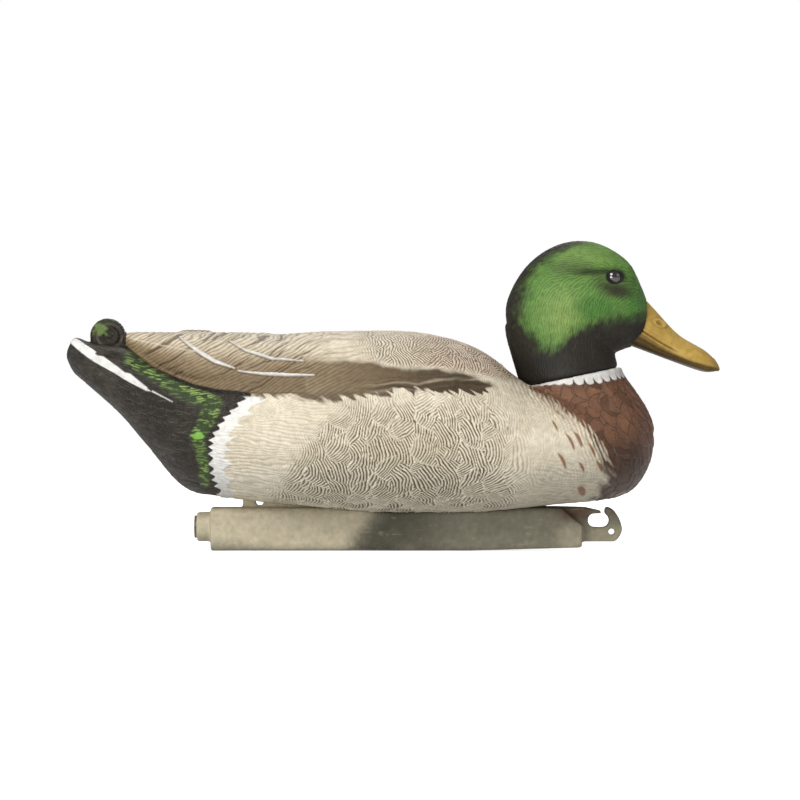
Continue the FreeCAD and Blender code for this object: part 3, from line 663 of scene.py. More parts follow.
def rump_layer(p, n, flow, x, z, aft):
    """Rump and tail: narrow dark feathers with pale hairlines, and green flecks by the wing."""
    _, u, v, inside = feathers(p, n, flow, aft > 0, 8.0, 40, 9, 501)
    hair = stripes(v + (layered(p, 12.0, 505) - 0.5) * 3, 1.8)
    rise = 0.55 * u / 20 - 0.3 * ramp(inside, 0.6, 0) + 0.12 * hair
    patch = layered(p, 20.0, 510)
    wet = noise(p, (7, 5, 1.6), 512)
    colour = coats(
        SOOT,
        (SOOT_DARK, 0.8 * ramp(inside, 0.9, 0.1)),
        (SOOT_DARK, 0.6 * ramp(patch, 0.55, 0.35)),
        (SOOT_LIGHT, 0.62 * np.clip(hair, 0, 1) * ramp(wet, 0.4, 0.9)),
        (SOOT_LIGHT, 0.35 * ramp(x, -160, -195) * ramp(patch, 0.4, 0.7)))
    near = np.full(len(p), 1.0, np.float32)
    for (x0, z0, r0), (x1, z1, r1) in zip(FLECK_PATH, FLECK_PATH[1:]):
        dx, dz = x1 - x0, z1 - z0
        t = np.clip(((x - x0) * dx + (z - z0) * dz) / (dx ** 2 + dz ** 2), 0, 1)
        gap = np.hypot(x - x0 - t * dx, z - z0 - t * dz) / (r0 + t * (r1 - r0))
        near = np.minimum(near, gap)
    inner = ramp(near, 1.0, 0.35)
    fleck = ramp(noise(p, (4.0, 4.0, 1.2), 44), 0.42, 0.6) * ramp(np.clip(hair, -1, 1), -0.8, 0.1)
    spot = np.hypot(x - FLECK_PATCH[0], (z - FLECK_PATCH[1]) * 1.6)
    spot = spot + 2.5 * (noise(p, 2.4, 49) - 0.3)
    colour = coats(
        colour,
        (GREEN_SHADE, 0.7 * inner),
        (SPECKLE, fleck * inner * (0.35 + 0.6 * ramp(noise(p, 7.0, 46), 0.3, 0.7))),
        (SPECKLE_BRIGHT, 0.9 * ramp(spot + 3 * (wet - 0.5), 5.2, 3.8)))
    return rise, colour


def curl_paint(p, x, z, colour):
    """The curled feathers: dark, ringed, with a touch of green."""
    on_curl = ramp(np.hypot(x - CURL[0], z - CURL[1]), 14, 12.5) * (x < -181) * (p[:, 2] > 136)
    on_curl = on_curl * ramp(np.abs(p[:, 1]), 14, 12)
    ring = np.hypot(x - CURL[0] - 1, z - CURL[1] - 0.5)
    green = ramp(np.hypot((x + 198.5) / 1.3, z - 149) + 4 * (noise(p, 2.2, 48) - 0.5), 4.6, 2.4)
    colour = coats(
        colour,
        (SOOT, on_curl),
        (SOOT_LIGHT, 0.5 * on_curl * ramp(np.abs(ring - 8.2), 1.6, 0.3)),
        (SOOT_DARK, 0.9 * on_curl * ramp(np.abs(ring - 6), 1.2, 0.2)),
        (SPECKLE * 0.5, 0.8 * green * on_curl),
        (GREEN_SHADE, 0.6 * on_curl * ramp(z, 152, 156)))
    return colour, on_curl * (0.5 * np.cos(ring * math.tau / 5.5))


def scapular_layer(p, x, z, barbs, splits, wing_rise):
    """The brown feathers over the flank: barbed under the wing, long strands ahead of it."""
    run = streaked(p, x, z, 0.07, 34, 2.0, 430)
    thread = streaked(p, x, z, 0.05, 30, 1.3, 433)
    ahead = ramp(x, -50, 10)
    low = line_height(BAND_LOWER, x)
    rise = 0.5 + wing_rise * (1 - ahead) + (0.9 * (run - 0.5) + 0.2 * (thread - 0.5)) * ahead
    colour = coats(
        SCAPULAR,
        (WING_BROWN, 0.8 * ramp(x, 10, -70)),
        (SCAPULAR_DARK, 0.6 * ramp(x, -20, 45) + 0.4 * splits * (1 - ahead)),
        (SCAPULAR_DARK, 0.45 * np.clip(-barbs, 0, 1) * (1 - ahead)),
        (SCAPULAR_DARK, 0.8 * ramp(thread, 0.55, 0.9) * ahead),
        (WING_LIGHT, 0.35 * ramp(run, 0.6, 0.9) * ahead),
        (SCAPULAR_DARK, 0.45 * ramp(z, low + 4, low)))
    return rise, colour


def wing_paint(x, z, edge, barbs, splits, tones, grain):
    """The folded wing: pale towards the back, dark in its splits, and with painted shade along its
    lower edge.
    """
    height = (z - edge) / np.maximum(148 - edge, 4)
    return coats(
        WING_BROWN,
        (WING_GOLD, 0.7 * ramp(height, 0.5, 0.12)),
        (WING_LIGHT, np.clip(ramp(height, 0.4, 0.8) * (0.65 + 0.9 * (tones - 0.3)), 0, 1)),
        (WING_LIGHT, ramp(x, -120, -50) * ramp(z, 126, 138)),
        (WING_DARK, 0.7 * np.clip(-barbs, 0, 1) * (0.3 + 1.0 * grain)),
        (WING_DARK, 0.8 * splits),
        (WING_GOLD, 0.25 * ramp(tones, 0.55, 0.8)),
        # painted shade along the wing's lower edge
        (WING_DARK, 0.7 * ramp(z - edge, 1.1, 0.2)))


def hull_surface(p, n, lines):
    """The hull's moulded relief in millimetres and its paint, point by point."""
    x, z = seen(p)
    flow = hull_flow(p, n)
    zones = hull_zones(p, x, z)
    wing, scapular, aft, chest = (zones[name] for name in ("wing", "scapular", "aft", "breast"))
    band, ring, collar = (zones[name] for name in ("band", "ring", "collar"))
    grain = layered(p, 3.0, 70)
    rise, colour = flank_layer(p, n, flow, x, z, zones)

    top = line_height(BAND_UPPER, x)
    back = ramp(z, top - 1, top + 4) * ramp(x, -95, -50)
    back_rise, back_colour = back_layer(p, n, flow, x, z, back)
    chest_rise, chest_colour = breast_layer(p, n, flow, z, zones)
    comb = stripes(0.93 * x + 0.36 * z + (layered(p, 7.0, 3) - 0.5) * 4, 2.6)
    mixed = zones["mixed"] * (1 - chest) * ramp(z, 50, 74)
    rise = over(rise, back_rise, back)
    rise = over(rise, chest_rise, np.clip(chest + 0.5 * zones["mixed"], 0, 1))
    rise = rise + 0.16 * comb * mixed
    colour = coats(
        colour,
        (back_colour, back),
        (CHESTNUT_LIGHT, 0.38 * mixed * ramp(zones["mixed"], 0.3, 1) * ramp(comb, 0, 0.6)),
        (chest_colour, chest))
    for place_x, place_z, size, broad in DASHES:
        along = (x - place_x) * math.cos(DASH_LEAN) - (z - place_z) * math.sin(DASH_LEAN)
        off = (x - place_x) * math.sin(DASH_LEAN) + (z - place_z) * math.cos(DASH_LEAN)
        off = off + 0.025 * along ** 2
        mark = ramp((2 * along / size) ** 2 + (2 * off / broad) ** 2, 1.2, 0.4) * (chest < 0.8)
        colour = blend(colour, DASH_BROWN, 0.85 * mark)
        rise = rise + 0.3 * mark

    barbs, splits, tones, wing_rise = wing_layer(p, x, z)
    scapular_rise, scapular_colour = scapular_layer(p, x, z, barbs, splits, wing_rise)
    edge = line_height(WING_EDGE, x)
    tip = ramp(np.abs(p[:, 1]) - 4.5 * bump_at(x, -134, 15), 0.4, -0.8) * (z > 138)
    wing_colour = wing_paint(x, z, edge, barbs, splits, tones, grain)
    wing_colour = blend(wing_colour, WING_DARK * 0.6, 0.9 * tip)
    aft_rise, aft_colour = rump_layer(p, n, flow, x, z, aft)
    aft_colour = coats(
        aft_colour,
        # painted shadow on the rump under the wing's overhanging lower edge, darkest in a thin
        # band just below it
        (SOOT_DARK, 0.7 * ramp(z - edge, -5, -0.5) * (x < -88)),
        (SOOT_DARK * 0.5, 0.9 * ramp(z - edge, -3.0, -2.0) * ramp(x, -160, -146)))
    rise = over(rise, scapular_rise, scapular)
    rise = over(over(rise, wing_rise + 0.4, wing) + 1.1 * tip, aft_rise, aft)
    colour = coats(colour, (scapular_colour, scapular), (wing_colour, wing), (aft_colour, aft))
    colour, curl_rise = curl_paint(p, x, z, colour)

    quills, below, faint = quill_marks(p, lines)
    stripe = tail_stripe(p, lines) * ramp(np.abs(n[:, 1]), 0.05, 0.25)
    rise = rise + curl_rise + 0.9 * quills - 0.4 * below + 0.3 * faint
    rise = (rise + 0.5 * stripe + 0.45 * band) * (1 - collar * (1 - 0.6 * ring))
    colour = coats(
        colour,
        # the painted shadow line under each shaft
        (WING_DARK, 0.75 * below),
        (WING_LIGHT, 0.5 * faint),
        (WHITE * 0.9, quills * (0.65 + 0.4 * grain)),
        (WHITE, 0.96 * np.maximum(stripe, band)),
        (CHESTNUT_DARK, 0.5 * collar * ramp(ring, 0.9, 0.2) * ramp(x, 110, 124)),
        (WHITE * 0.86, ring),
        # darker along the middle of the back, by the collar
        (SOOT, 0.5 * ramp(np.abs(p[:, 1]), 10, 4) * collar * ramp(x, 108, 96)))
    return rise, colour * (0.94 + 0.12 * grain)[:, None]


def finished(points, normals, rise):
    """Points moved out along their normals by the relief."""
    return points + normals * rise[:, None]


def make_hull(paint_material):
    skin = outer_skin("body_shell", ["neck_cup", "vent_plug", "head_stem", "keel_shell"])
    even = remeshed(skin, HULL_VOXEL)
    lines = Lines(even)
    half = divided(left_half(even))
    p, n, mesh = arrays(half)
    rise, colour = hull_surface(p, n, lines)
    # the halves meet along the mould's parting line
    seam = ramp(p[:, 1], 0.0, 0.9)
    moved = finished(p, n, np.clip(rise, *HULL_RELIEF) * (0.35 + 0.65 * seam))
    moved[p[:, 1] < 0.02, 1] = 0.0
    for name, flip in (("hull_left", False), ("hull_right", True)):
        ob = displaced(mesh, moved, colour, rise, name, paint_material, flip)
        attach(ob, "hull")
        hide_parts("body_shell")


# ------------ the head

HEAD_GREEN = linear(96, 136, 64)
# A lighter green, painted as highlight on the cheek, the crown and the strands' tops.
HEAD_HIGHLIGHT = linear(136, 164, 90)
HEAD_DEEP = linear(66, 118, 50)
HEAD_DARK = linear(38, 35, 29)
HEAD_BLACK = linear(22, 20, 17)
HEAD_DARK_WARM = linear(66, 60, 47)
# Where the green ends: at the nape, upwards, as (z, x), and at the jaw, as (x, z).
NAPE_EDGE = [(138.5, 98.8), (151.7, 86.6), (167.9, 84.6), (183.1, 90.7), (197.3, 101.9),
             (206.5, 121.1)]
JAW_EDGE = [(86, 150), (98.8, 138.5), (109, 136.5), (117, 143.6), (125, 150.7), (139.4, 155.7),
            (154.6, 157.8), (168, 160.5)]
EYES = {name: np.array((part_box(name)[0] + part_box(name)[1]) / 2) * TO_MM
        for name in ("right_eye", "left_eye")}


def head_flow(p, n):
    """Head feathers sweep back from the bill, then down the cheeks and the neck."""
    turn = ramp(p[:, 2], 190, 142) * ramp(p[:, 0], 176, 128)
    turn = np.maximum(turn, ramp(p[:, 0], 98, 80))
    way = np.zeros_like(p)
    way[:, 0] = -1 + 0.96 * turn
    way[:, 2] = 0.10 - 0.45 * ramp(p[:, 2], 196, 170) - 0.9 * turn
    return along_surface(way, n)


def head_surface(p, n):
    """The head's strands, brow, cheek and eye sockets, and its paint."""
    x, z = seen(p)
    flow = head_flow(p, n)
    grain = layered(p, 2.6, 170)
    soft = layered(p, 18.0, 177)
    everywhere = np.ones(len(p), bool)
    number, u, v, inside = feathers(p, n, flow, everywhere, 5.0, 24, 5.2, 601)
    strands = stripes(v + 0.6 * np.sin(u * 0.35 + 6 * number), 1.5)
    neck = ramp(z, 142, 126)
    rise = (0.26 * u / 12 + 0.13 * strands - 0.16 * ramp(inside, 0.6, 0)) * (1 - 0.35 * neck)

    eye_gap = np.min([np.linalg.norm((p - e) * (1, 0.5, 1.2), axis=1) for e in EYES.values()],
                     axis=0)
    socket = ramp(eye_gap, 14, 8)
    rise = rise * ramp(eye_gap, 7.0, 10) - 0.5 * socket
    brow = bump_at(z - 193.5 + 0.22 * (x - 150), 0, 4.5) * ramp(x, 122, 140) * ramp(x, 168, 158)
    rise = rise + 0.9 * brow * (np.abs(n[:, 1]) > 0.3)
    trough = bump_at(z - 188.5 - 0.03 * (x - 140), 0, 3.4) * ramp(x, 104, 126) * ramp(x, 143, 136)
    rise = rise - 0.7 * trough
    cheek = ramp(oval(x, z, 126, 162, 30, 20), 1, 0) * np.abs(n[:, 1])
    rise = rise + 1.0 * cheek
    bottom = dots(p - NECK, np.broadcast_to(NECK_UP, p.shape))
    rise = rise * ramp(bottom, 0.6, 4.0)

    ragged = (number - 0.5) * 4 + (layered(p, 5.0, 181) - 0.5) * 8
    nape_x = np.interp(z, [e[0] for e in NAPE_EDGE], [e[1] for e in NAPE_EDGE])
    lit = ramp(x - nape_x + ragged, -6, 9)
    lit = lit * ramp(z - line_height(JAW_EDGE, x) + ragged, -7, 6)
    lit = lit * (1 - 0.85 * ramp(z, 203.5 + 0.4 * ragged, 208) * ramp(x, 144, 116))
    green = coats(
        HEAD_GREEN,
        # painted highlights on the cheek and on the crown
        (HEAD_HIGHLIGHT, 0.8 * ramp(oval(x, z, 113, 160, 20, 24), 1.15, 0.2)),
        (HEAD_HIGHLIGHT, 0.5 * ramp(oval(x, z, 128, 200, 28, 10), 1.1, 0.2)),
        (HEAD_DEEP, 0.75 * ramp(x - 0.3 * (z - 165), 146, 166)),
        (HEAD_DEEP, 0.75 * ramp(oval(x, z, 136, 164, 18, 9), 1.2, 0.3)),
        (HEAD_DARK_WARM, 0.5 * bump_at(z + 0.05 * (x - 134), 190, 9) * ramp(x, 98, 116)
         * ramp(x, 142, 128)),
        # painted shade between the strands
        (HEAD_BLACK, 0.55 * np.clip(-strands, 0, 1) ** 2 * (0.35 + 0.7 * grain)),
        # painted highlight on the strands' tops
        (HEAD_HIGHLIGHT, 0.22 * np.clip(strands, 0, 1) ** 2))
    dark = coats(
        HEAD_DARK,
        (HEAD_DARK_WARM, 0.55 * np.clip(strands, 0, 1) * ramp(grain, 0.25, 0.7)
         * ramp(z, 118, 140)),
        (HEAD_BLACK, 0.6 * ramp(z, 140, 122) * ramp(x, 116, 92)))
    colour = blend(dark, green, lit)
    # A dark line in the trough under the brow: painted shade.
    streak = ramp(np.abs(z - 188.6 - 0.03 * (x - 140)), 3.4, 0.6)
    streak = streak * ramp(x, 112, 134) * ramp(x, 150, 144)
    smudge = ramp(np.hypot((x - 151) / 13, (z - 175.5 + 0.25 * (x - 151)) / 6.2), 1.25, 0.2)
    halo = ramp(oval(x, z, 148, 181, 17, 11), 1.15, 0.5)
    # The corner of the mouth, behind the bill: painted shadow.
    face = ramp(x, 158, 165) * ramp(z, 156, 149)
    colour = coats(
        colour,
        # painted shade in the trough under the brow
        (HEAD_BLACK, 0.75 * streak),
        (HEAD_DARK, 0.88 * smudge),
        (HEAD_DARK_WARM * 0.8, 0.45 * halo),
        (HEAD_BLACK, ramp(eye_gap, 6.9, 5.6)),
        # painted shadow at the corner of the mouth
        (HEAD_BLACK, face * 0.9),
        (HEAD_BLACK, 0.8 * ramp(bottom, 3.0, 0.8)))
    colour = colour * (0.92 + 0.16 * grain)[:, None] * (0.92 + 0.16 * soft)[:, None]
    return rise, colour


def make_head(paint_material):
    skin = outer_skin("head_shell", ["bill", "left_eye", "right_eye", "head_stem", "stem_screws"])
    p, n, mesh = arrays(divided(remeshed(skin, HEAD_VOXEL)))
    rise, colour = head_surface(p, n)
    moved = finished(p, n, np.clip(rise, *HEAD_RELIEF))
    ob = displaced(mesh, moved, colour, rise, "head", paint_material)
    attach(ob, "head")
    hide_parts("head_shell")


# Sections of the lid that frames the eye: reach back and forth, reach up and down, height above
# the dome's middle plane, from the inside out and round to the start.
LID = [(3.9, 2.9, 5.2), (4.1, 3.1, 6.1), (4.7, 3.7, 6.2), (5.4, 4.5, 5.6), (6.4, 5.7, 4.4),
       (7.3, 6.9, 3.0), (6.9, 6.5, 2.0), (4.8, 3.8, 2.4)]
LID_TURN = math.radians(-12)
LID_STEPS = 56
EYE_RADIUS = 7.2


def make_eyelids(material):
    """Two dark lids, each a closed ring with a narrow, slightly turned opening."""
    bm = bmesh.new()
    for name, eye in EYES.items():
        side = 1 if name == "left_eye" else -1
        base = max(abs(c[1]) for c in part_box(name)) * TO_MM - EYE_RADIUS
        loops = []
        for reach_x, reach_z, height in LID:
            loop = []
            for k in range(LID_STEPS):
                a = math.tau * k / LID_STEPS
                corner = 1 + 0.16 * abs(math.cos(a)) ** 6
                dx, dz = reach_x * corner * math.cos(a), reach_z * math.sin(a)
                px = dx * math.cos(LID_TURN) - dz * math.sin(LID_TURN)
                pz = dx * math.sin(LID_TURN) + dz * math.cos(LID_TURN)
                loop.append(bm.verts.new(((eye[0] + px) * MM, side * (base + height) * MM,
                                          (eye[2] + pz) * MM)))
            loops.append(loop)
        for inner, outer in zip(loops, loops[1:] + loops[:1]):
            for k in range(LID_STEPS):
                m = (k + 1) % LID_STEPS
                ring = (inner[k], inner[m], outer[m], outer[k])
                bm.faces.new(ring if side < 0 else ring[::-1])
    bmesh.ops.recalc_face_normals(bm, faces=bm.faces)
    p, _, mesh = arrays(bm)
    eye = EYES["left_eye"]
    gap = oval(p[:, 0], p[:, 2], eye[0], eye[2], 6.5, 4.9)
    colour = coats(HEAD_BLACK, (HEAD_GREEN * 0.7, ramp(gap, 0.98, 1.2)))
    ob = displaced(mesh, p, colour, 0 * gap, "eyelids", material)
    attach(ob, "head")


# ------------ the bill

# The point that the bill starts from, as (x, z), and how far it slopes down.
BILL_BASE = (165.0, 155.4)
BILL_DROP = math.radians(33.0)
OCHRE = linear(184, 150, 74)
OCHRE_LIGHT = linear(208, 176, 98)
OCHRE_DEEP = linear(140, 104, 44)
OLIVE = linear(76, 58, 24)


def bill_surface(p, n):
    """The bill's mouth line, nostrils, ridge and nail, and its paint."""
    dx, dz = p[:, 0] - BILL_BASE[0], p[:, 2] - BILL_BASE[1]
    run = dx * math.cos(BILL_DROP) - dz * math.sin(BILL_DROP)
    up = dx * math.sin(BILL_DROP) + dz * math.cos(BILL_DROP)
    y = np.abs(p[:, 1])
    side = np.abs(n[:, 1])
    grain = layered(p, 2.4, 270)
    soft = layered(p, 11.0, 277)
    mouth = np.interp(run, [3, 20, 35, 48], [-5.2, -4.9, -4.0, -3.2]) - up
    lower = np.interp(run, [2, 8, 20, 30, 45, 58, 63],
                      [-10.6, -10, -9.2, -8.0, -5.0, -0.9, 0.6]) - up
    groove = ramp(np.abs(mouth), 1.0, 0.1) * ramp(side, 0.15, 0.45) * ramp(run, 38, 26)
    crease = ramp(np.abs(mouth - 2.2), 1.2, 0.2) * side * ramp(run, 34, 20) * 0.5
    mandible = ramp(lower, -0.2, 0.9)
    lip = bump_at(lower, -1.2, 1.2) * side
    rise = -0.8 * groove - 0.3 * crease - 0.6 * mandible + 0.35 * lip
    rise = rise + 0.35 * bump_at(mouth, -1.8, 1.4) * side * ramp(run, 42, 28)
    nose = np.hypot((run - 13.3 - 0.35 * (up - 6.2)) / 3.7, (up - 6.0) / 2.1)
    rise = rise + (0.7 * bump_at(nose, 1.05, 0.5) - 0.8 * ramp(nose, 0.7, 0.3)) * (side > 0.2)
    ridge = ramp(y, 5.0, 1.0) * ramp(n[:, 2], 0.2, 0.6) * ramp(run, 40, 10)
    nail = ramp(np.hypot((run - 61.5) / 5.5, y / 4.2), 1.1, 0.75) * (n[:, 2] > 0)
    rise = rise + 0.35 * ridge + 0.45 * nail + 0.16 * (soft - 0.5)

    # The lower corner of the bill's base, where it meets the face: painted shadow.
    base = ramp(run, 2.5, -1.0) * ramp(up, -4.5, -6.5)
    colour = coats(
        OCHRE,
        (OCHRE_LIGHT, 0.5 * ramp(run, 8, 34) * ramp(soft, 0.3, 0.7)),
        # painted highlight on the bill's ridge and on the bulge of the lip
        (OCHRE_LIGHT, 0.5 * ridge + 0.4 * lip),
        (OCHRE_DEEP, 0.35 * ramp(run, 48, 62)),
        (OCHRE_DEEP, 0.35 * ramp(mouth, 0.0, 3.0)),
        (OLIVE, 0.45 * ramp(mouth, 0.6, 2.6) * ramp(run, 50, 30)),
        # darker towards the bottom edge and underneath: painted shade under the bill
        (OLIVE, 0.92 * ramp(lower, -2.4, 0.0)),
        (OLIVE * 0.5, 0.7 * ramp(lower, 1.2, 4)),
        # painted shade in the mouth groove and in the crease just below it
        (OLIVE * 0.6, 0.8 * groove + 0.35 * crease),
        # painted shade in the nostril's hollow and just outside its rim, and a painted highlight
        # on the rim
        (OCHRE_DEEP, 0.4 * bump_at(nose, 1.5, 0.5) + 0.7 * ramp(nose, 0.7, 0.3)),
        (OCHRE_LIGHT, 0.4 * bump_at(nose, 1.0, 0.3)),
        # painted shadow at the bill's base, by the corner of the mouth
        (HEAD_BLACK, 0.7 * base))
    return rise, colour * (0.92 + 0.16 * grain)[:, None]


def make_bill(paint_material):
    p, n, mesh = arrays(divided(remeshed(welded("bill"), BILL_VOXEL, 5)))
    rise, colour = bill_surface(p, n)
    ob = displaced(mesh, finished(p, n, rise), colour, rise, "bill_painted", paint_material)
    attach(ob, "head")
    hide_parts("bill")


# ------------ the keel

KEEL_CREAM = linear(186, 176, 150)
KEEL_SHADE = linear(76, 74, 60)
KEEL_GREEN = linear(128, 124, 106)
KEEL_BROWN = linear(92, 66, 48)


def keel_surface(p):
    """The keel's faint unevenness and its sprayed shading."""
    x, z = p[:, 0], p[:, 2]
    grain = layered(p, 2.2, 370)
    soft = layered(p, 20.0, 377)
    rise = 0.12 * (layered(p, 9.0, 381) - 0.5) + 0.05 * (grain - 0.5)
    slant = x - 0.56 * z + 14 * (soft - 0.5) + 7 * (grain - 0.5)
    haze = ramp(x, -60, -118) * ramp(z, 10, 2)
    scuff = ramp(noise(p, (9, 2, 1.4), 391), 0.78, 0.95) * ramp(grain, 0.4, 0.6)
    edge = ramp(z, 1.6, 0.2)
    colour = coats(
        KEEL_CREAM,
        (KEEL_GREEN, ramp(slant, -38, -20)),
        (KEEL_SHADE, ramp(slant, -36, -16) * ramp(x, 50, 0)),
        (KEEL_CREAM, 0.35 * ramp(np.abs(x + 0.8 * z - 12), 16, 0) * ramp(soft, 0.4, 0.7)),
        (KEEL_CREAM, 0.5 * ramp(x, 104, 118) * ramp(z, 22, 12)),
        (KEEL_BROWN, 0.8 * ramp(x, 104, 118) * ramp(z, 17, 24) * ramp(x, 140, 128)),
        (KEEL_BROWN, 0.6 * ramp(x, 134, 146) * ramp(z, 20, 27)),
        (KEEL_GREEN, 0.55 * haze),
        (KEEL_CREAM, 0.25 * scuff),
        (KEEL_SHADE, 0.5 * edge))
    return rise, colour * (0.93 + 0.14 * grain)[:, None]


def make_keel(paint_material):
    p, n, mesh = arrays(divided(remeshed(welded("keel_shell"), KEEL_VOXEL, 3)))
    rise, colour = keel_surface(p)
    moved = finished(p, n, rise)
    moved[:, 2] = np.maximum(moved[:, 2], 0.0)
    ob = displaced(mesh, moved, colour, rise, "keel_painted", paint_material)
    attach(ob, "hull")
    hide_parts("keel_shell")


# ------------ materials

class Graph:
    """Short calls for building one material's nodes."""

    def __init__(self, name):
        self.material = bpy.data.materials.new(name)
        self.material.use_nodes = True
        self.tree = self.material.node_tree
        self.shader = self.tree.nodes["Principled BSDF"]

    def feed(self, socket, value):
        """Links another node's output to a socket, or sets the socket to a plain value."""
        if isinstance(value, bpy.types.NodeSocket):
            self.tree.links.new(value, socket)
        else:
            socket.default_value = value

    def add(self, kind, **inputs):
        node = self.tree.nodes.new(kind)
        for key, value in inputs.items():
            self.feed(node.inputs[key.replace("_", " ")], value)
        return node

    def attribute(self, name):
        node = self.tree.nodes.new("ShaderNodeAttribute")
        node.attribute_name = name
        return node

    def noise(self, scale, detail=3.0):
        where = self.tree.nodes.new("ShaderNodeTexCoord").outputs["Object"]
        node = self.add("ShaderNodeTexNoise", Vector=where, Scale=scale, Detail=detail)
        return node.outputs["Fac"]

    def spread(self, value, low, high, start=0.3, end=0.7):
        """Maps a value between start and end to one between low and high."""
        node = self.add("ShaderNodeMapRange", Value=value)
        for key, number in zip(("From Min", "From Max", "To Min", "To Max"),
                               (start, end, low, high)):
            node.inputs[key].default_value = number
        return node.outputs["Result"]

    def product(self, first, second):
        node = self.tree.nodes.new("ShaderNodeMath")
        node.operation = "MULTIPLY"
        self.feed(node.inputs[0], first)
        self.feed(node.inputs[1], second)
        return node.outputs["Value"]

    def mix(self, factor, first, second, how="MIX"):
        """Mixes two colours. Sockets 6 and 7 and output 2 are the node's colour ones."""
        node = self.tree.nodes.new("ShaderNodeMix")
        node.data_type = "RGBA"
        node.blend_type = how
        for place, value in ((0, factor), (6, first), (7, second)):
            self.feed(node.inputs[place], value)
        return node.outputs[2]

    def bump(self, height, distance, strength=0.5):
        node = self.add("ShaderNodeBump", Height=height, Strength=strength)
        node.inputs["Distance"].default_value = distance
        self.tree.links.new(node.outputs["Normal"], self.shader.inputs["Normal"])

    def set(self, **inputs):
        for key, value in inputs.items():
            self.feed(self.shader.inputs[key.replace("_", " ")], value)


# The dust that lies on each painted piece.
EARTH_DUST, GREEN_DUST = (0.62, 0.56, 0.44, 1), (0.16, 0.18, 0.1, 1)
OCHRE_DUST, KEEL_DUST = (0.5, 0.4, 0.2, 1), (0.5, 0.46, 0.36, 1)
RUBBED = (1.0, 0.96, 0.86, 1)


def painted(name, rough, dust, dust_amount):
    """Moulded plastic under brushed paint, with fine speckles of dust and rubbed ridges."""
    g = Graph(name)
    paint = g.attribute("paint").outputs["Color"]
    relief = g.attribute("relief").outputs["Fac"]
    fine = g.noise(1500, 2)
    middle = g.noise(260, 4)
    broad = g.noise(38, 3)
    value = g.spread(middle, 0.84, 1.12)
    grey = g.add("ShaderNodeCombineColor", Red=value, Green=value, Blue=value).outputs["Color"]
    colour = g.mix(1.0, paint, grey, "MULTIPLY")
    ridge = g.spread(relief, 0.0, 0.22, 0.15, 0.75)
    rubbed = g.product(ridge, g.spread(broad, 0.0, 1.0, 0.42, 0.68))
    colour = g.mix(rubbed, colour, RUBBED, "SOFT_LIGHT")
    colour = g.mix(g.spread(fine, 0.0, dust_amount, 0.56, 0.75), colour, dust)
    g.set(Base_Color=colour, Roughness=g.spread(broad, *rough), Specular_IOR_Level=0.2)
    g.bump(fine, 0.00025, 0.35)
    return g.material


def moulded(name, colour, rough, speck=0.12):
    """Plain moulded surface: two tones, a fine grain and uneven gloss."""
    g = Graph(name)
    fine = g.noise(900, 3)
    broad = g.noise(90, 3)
    darker = tuple(c * (1 - 2.2 * speck) for c in colour[:3]) + (1,)
    lighter = tuple(min(1, c * (1 + speck)) for c in colour[:3]) + (1,)
    g.set(Base_Color=g.mix(g.spread(broad, 0, 1), darker, lighter))
    g.set(Roughness=g.spread(fine, rough - 0.08, rough + 0.1))
    g.bump(fine, 0.0002, 0.4)
    return g.material


def sand(name):
    g = Graph(name)
    grains = g.noise(1400, 1)
    patch = g.noise(200, 2)
    light = g.mix(g.spread(grains, 0, 1), (0.30, 0.22, 0.13, 1), (0.62, 0.52, 0.36, 1))
    g.set(Base_Color=g.mix(g.spread(patch, 0, 0.4), light, (0.44, 0.36, 0.24, 1)))
    g.set(Roughness=g.spread(grains, 0.85, 0.98))
    g.bump(grains, 0.0006, 0.9)
    return g.material


def eye_gloss(name):
    """Black acrylic: a clear coat over a faintly brown ground."""
    g = Graph(name)
    cloud = g.noise(420, 2)
    black, brown = (0.006, 0.005, 0.005, 1), (0.016, 0.011, 0.009, 1)
    g.set(Base_Color=g.mix(g.spread(cloud, 0, 1), black, brown))
    g.set(Roughness=g.spread(cloud, 0.06, 0.12), Coat_Weight=1.0, Coat_Roughness=0.04)
    return g.material


def steel(name):
    g = Graph(name)
    brushed = g.noise(2600, 2)
    broad = g.noise(300, 2)
    g.set(Base_Color=g.mix(g.spread(broad, 0, 1), (0.42, 0.42, 0.41, 1), (0.62, 0.61, 0.59, 1)))
    g.set(Metallic=1.0, Roughness=g.spread(brushed, 0.24, 0.42))
    g.bump(brushed, 0.0001, 0.3)
    return g.material


def plug_plastic(name):
    """The soft plug, its thin head rubbed dark by mud and water."""
    g = Graph(name)
    wear = g.noise(420, 4)
    fine = g.noise(1800, 2)
    worn = g.mix(g.spread(wear, 0, 1, 0.38, 0.62), (0.060, 0.045, 0.032, 1), (0.20, 0.16, 0.11, 1))
    g.set(Base_Color=worn, Roughness=g.spread(fine, 0.5, 0.7))
    g.bump(wear, 0.0003, 0.4)
    return g.material


def give(node, material):
    for slot in NODES[node].material_slots:
        slot.material = material


def finish_small_nodes():
    """Materials for the nodes that show as the CAD has them."""
    give("left_eye", eye_gloss("eye_acrylic"))
    give("right_eye", bpy.data.materials["eye_acrylic"])
    give("vent_plug", plug_plastic("worn_plug"))
    give("keel_plug", bpy.data.materials["worn_plug"])
    give("neck_cup", moulded("cup_nylon", (0.05, 0.05, 0.048), 0.5))
    give("head_stem", moulded("stem_nylon", (0.035, 0.035, 0.034), 0.45))
    give("friction_ring", moulded("ring_rubber", (0.012, 0.012, 0.012), 0.6, 0.2))
    give("stem_screws", steel("screw_steel"))
    give("keel_screws", bpy.data.materials["screw_steel"])
    give("keel_ballast", sand("packed_sand"))


# ------------ the stage

SHOT_WIDTH = 0.5415      # metres across the picture, at the middle plane


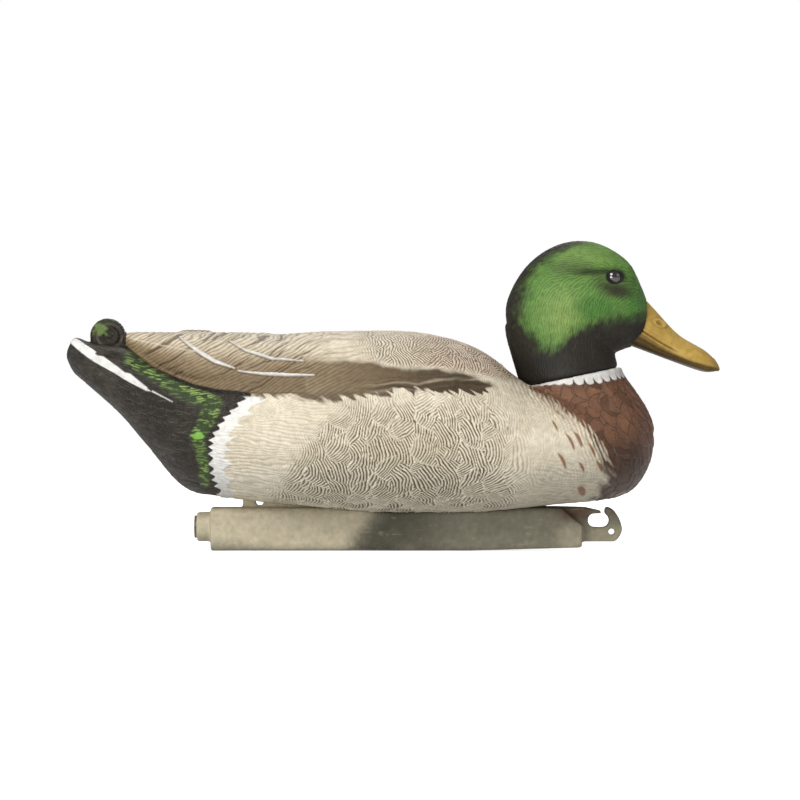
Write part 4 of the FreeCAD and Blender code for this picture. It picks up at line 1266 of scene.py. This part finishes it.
def make_floor():
    """A round pale floor, finer towards its middle, just under the object."""
    rings, spokes, hub, reach, depth = 24, 96, 0.05, 14.0, -0.0004
    bm = bmesh.new()
    rows = []
    for k in range(rings + 1):
        r = reach * (k / rings) ** 2 + hub
        rows.append([bm.verts.new((r * math.cos(math.tau * a / spokes),
                                   r * math.sin(math.tau * a / spokes), depth))
                     for a in range(spokes)])
    bm.faces.new(rows[0])
    for inner, outer in zip(rows, rows[1:]):
        for a in range(spokes):
            b = (a + 1) % spokes
            bm.faces.new((inner[a], outer[a], outer[b], inner[b]))
    mesh = bpy.data.meshes.new("studio_floor")
    bm.to_mesh(mesh)
    bm.free()
    ob = placed("studio_floor", mesh)
    g = Graph("pale_floor")
    tone = g.noise(3.0, 2)
    g.set(Base_Color=g.mix(g.spread(tone, 0, 1), (0.80, 0.80, 0.795, 1), (0.84, 0.84, 0.835, 1)))
    g.set(Roughness=0.9, Emission_Strength=0.82)
    g.shader.inputs["Emission Color"].default_value = (1, 1, 1, 1)
    mesh.materials.append(g.material)
    ob.visible_diffuse = False


def area_light(name, place, aim, size, power):
    data = bpy.data.lights.new(name, "AREA")
    data.shape = "DISK"
    data.size = size
    data.energy = power
    ob = placed(name, data)
    ob.location = place
    ob.rotation_euler = (Vector(aim) - Vector(place)).to_track_quat("-Z", "Y").to_euler()


def make_light():
    """A white room that only the camera sees at full strength, and four soft lights."""
    world = bpy.data.worlds.new("studio")
    world.use_nodes = True
    nodes, links = world.node_tree.nodes, world.node_tree.links
    back = nodes["Background"]
    back.inputs["Color"].default_value = (1, 1, 1, 1)
    path = nodes.new("ShaderNodeLightPath")
    level = nodes.new("ShaderNodeMapRange")
    level.inputs["To Min"].default_value = 0.36
    level.inputs["To Max"].default_value = 1.0
    links.new(path.outputs["Is Camera Ray"], level.inputs["Value"])
    links.new(level.outputs["Result"], back.inputs["Strength"])
    bpy.context.scene.world = world
    aim = (0.0, 0.0, 0.1)
    area_light("key", (-0.8, -1.6, 1.3), aim, 1.0, 24)
    area_light("low", (-0.9, -1.8, 0.02), (-0.04, 0.0, 0.06), 1.0, 27)
    area_light("side", (1.5, -1.3, 0.9), aim, 1.2, 4)
    area_light("rim", (0.1, 1.3, 1.6), aim, 1.2, 11)


def make_camera():
    data = bpy.data.cameras.new("camera")
    data.sensor_width = 36.0
    data.lens = VIEWER[1] * MM * data.sensor_width / SHOT_WIDTH
    data.clip_end = 100.0
    camera = placed("camera", data)
    camera.location = (VIEWER[0] * MM, -VIEWER[1] * MM, VIEWER[2] * MM)
    camera.rotation_euler = (math.radians(90), 0, 0)
    bpy.context.scene.camera = camera
    bpy.context.scene.view_settings.view_transform = "Standard"


make_camera()
make_hull(painted("hull_paint", (0.46, 0.62), EARTH_DUST, 0.12))
make_head(painted("head_paint", (0.5, 0.66), GREEN_DUST, 0.06))
make_bill(painted("bill_paint", (0.5, 0.64), OCHRE_DUST, 0.08))
make_eyelids(painted("lid_paint", (0.4, 0.5), GREEN_DUST, 0.04))
make_keel(painted("keel_paint", (0.42, 0.58), KEEL_DUST, 0.16))
finish_small_nodes()
make_floor()
make_light()
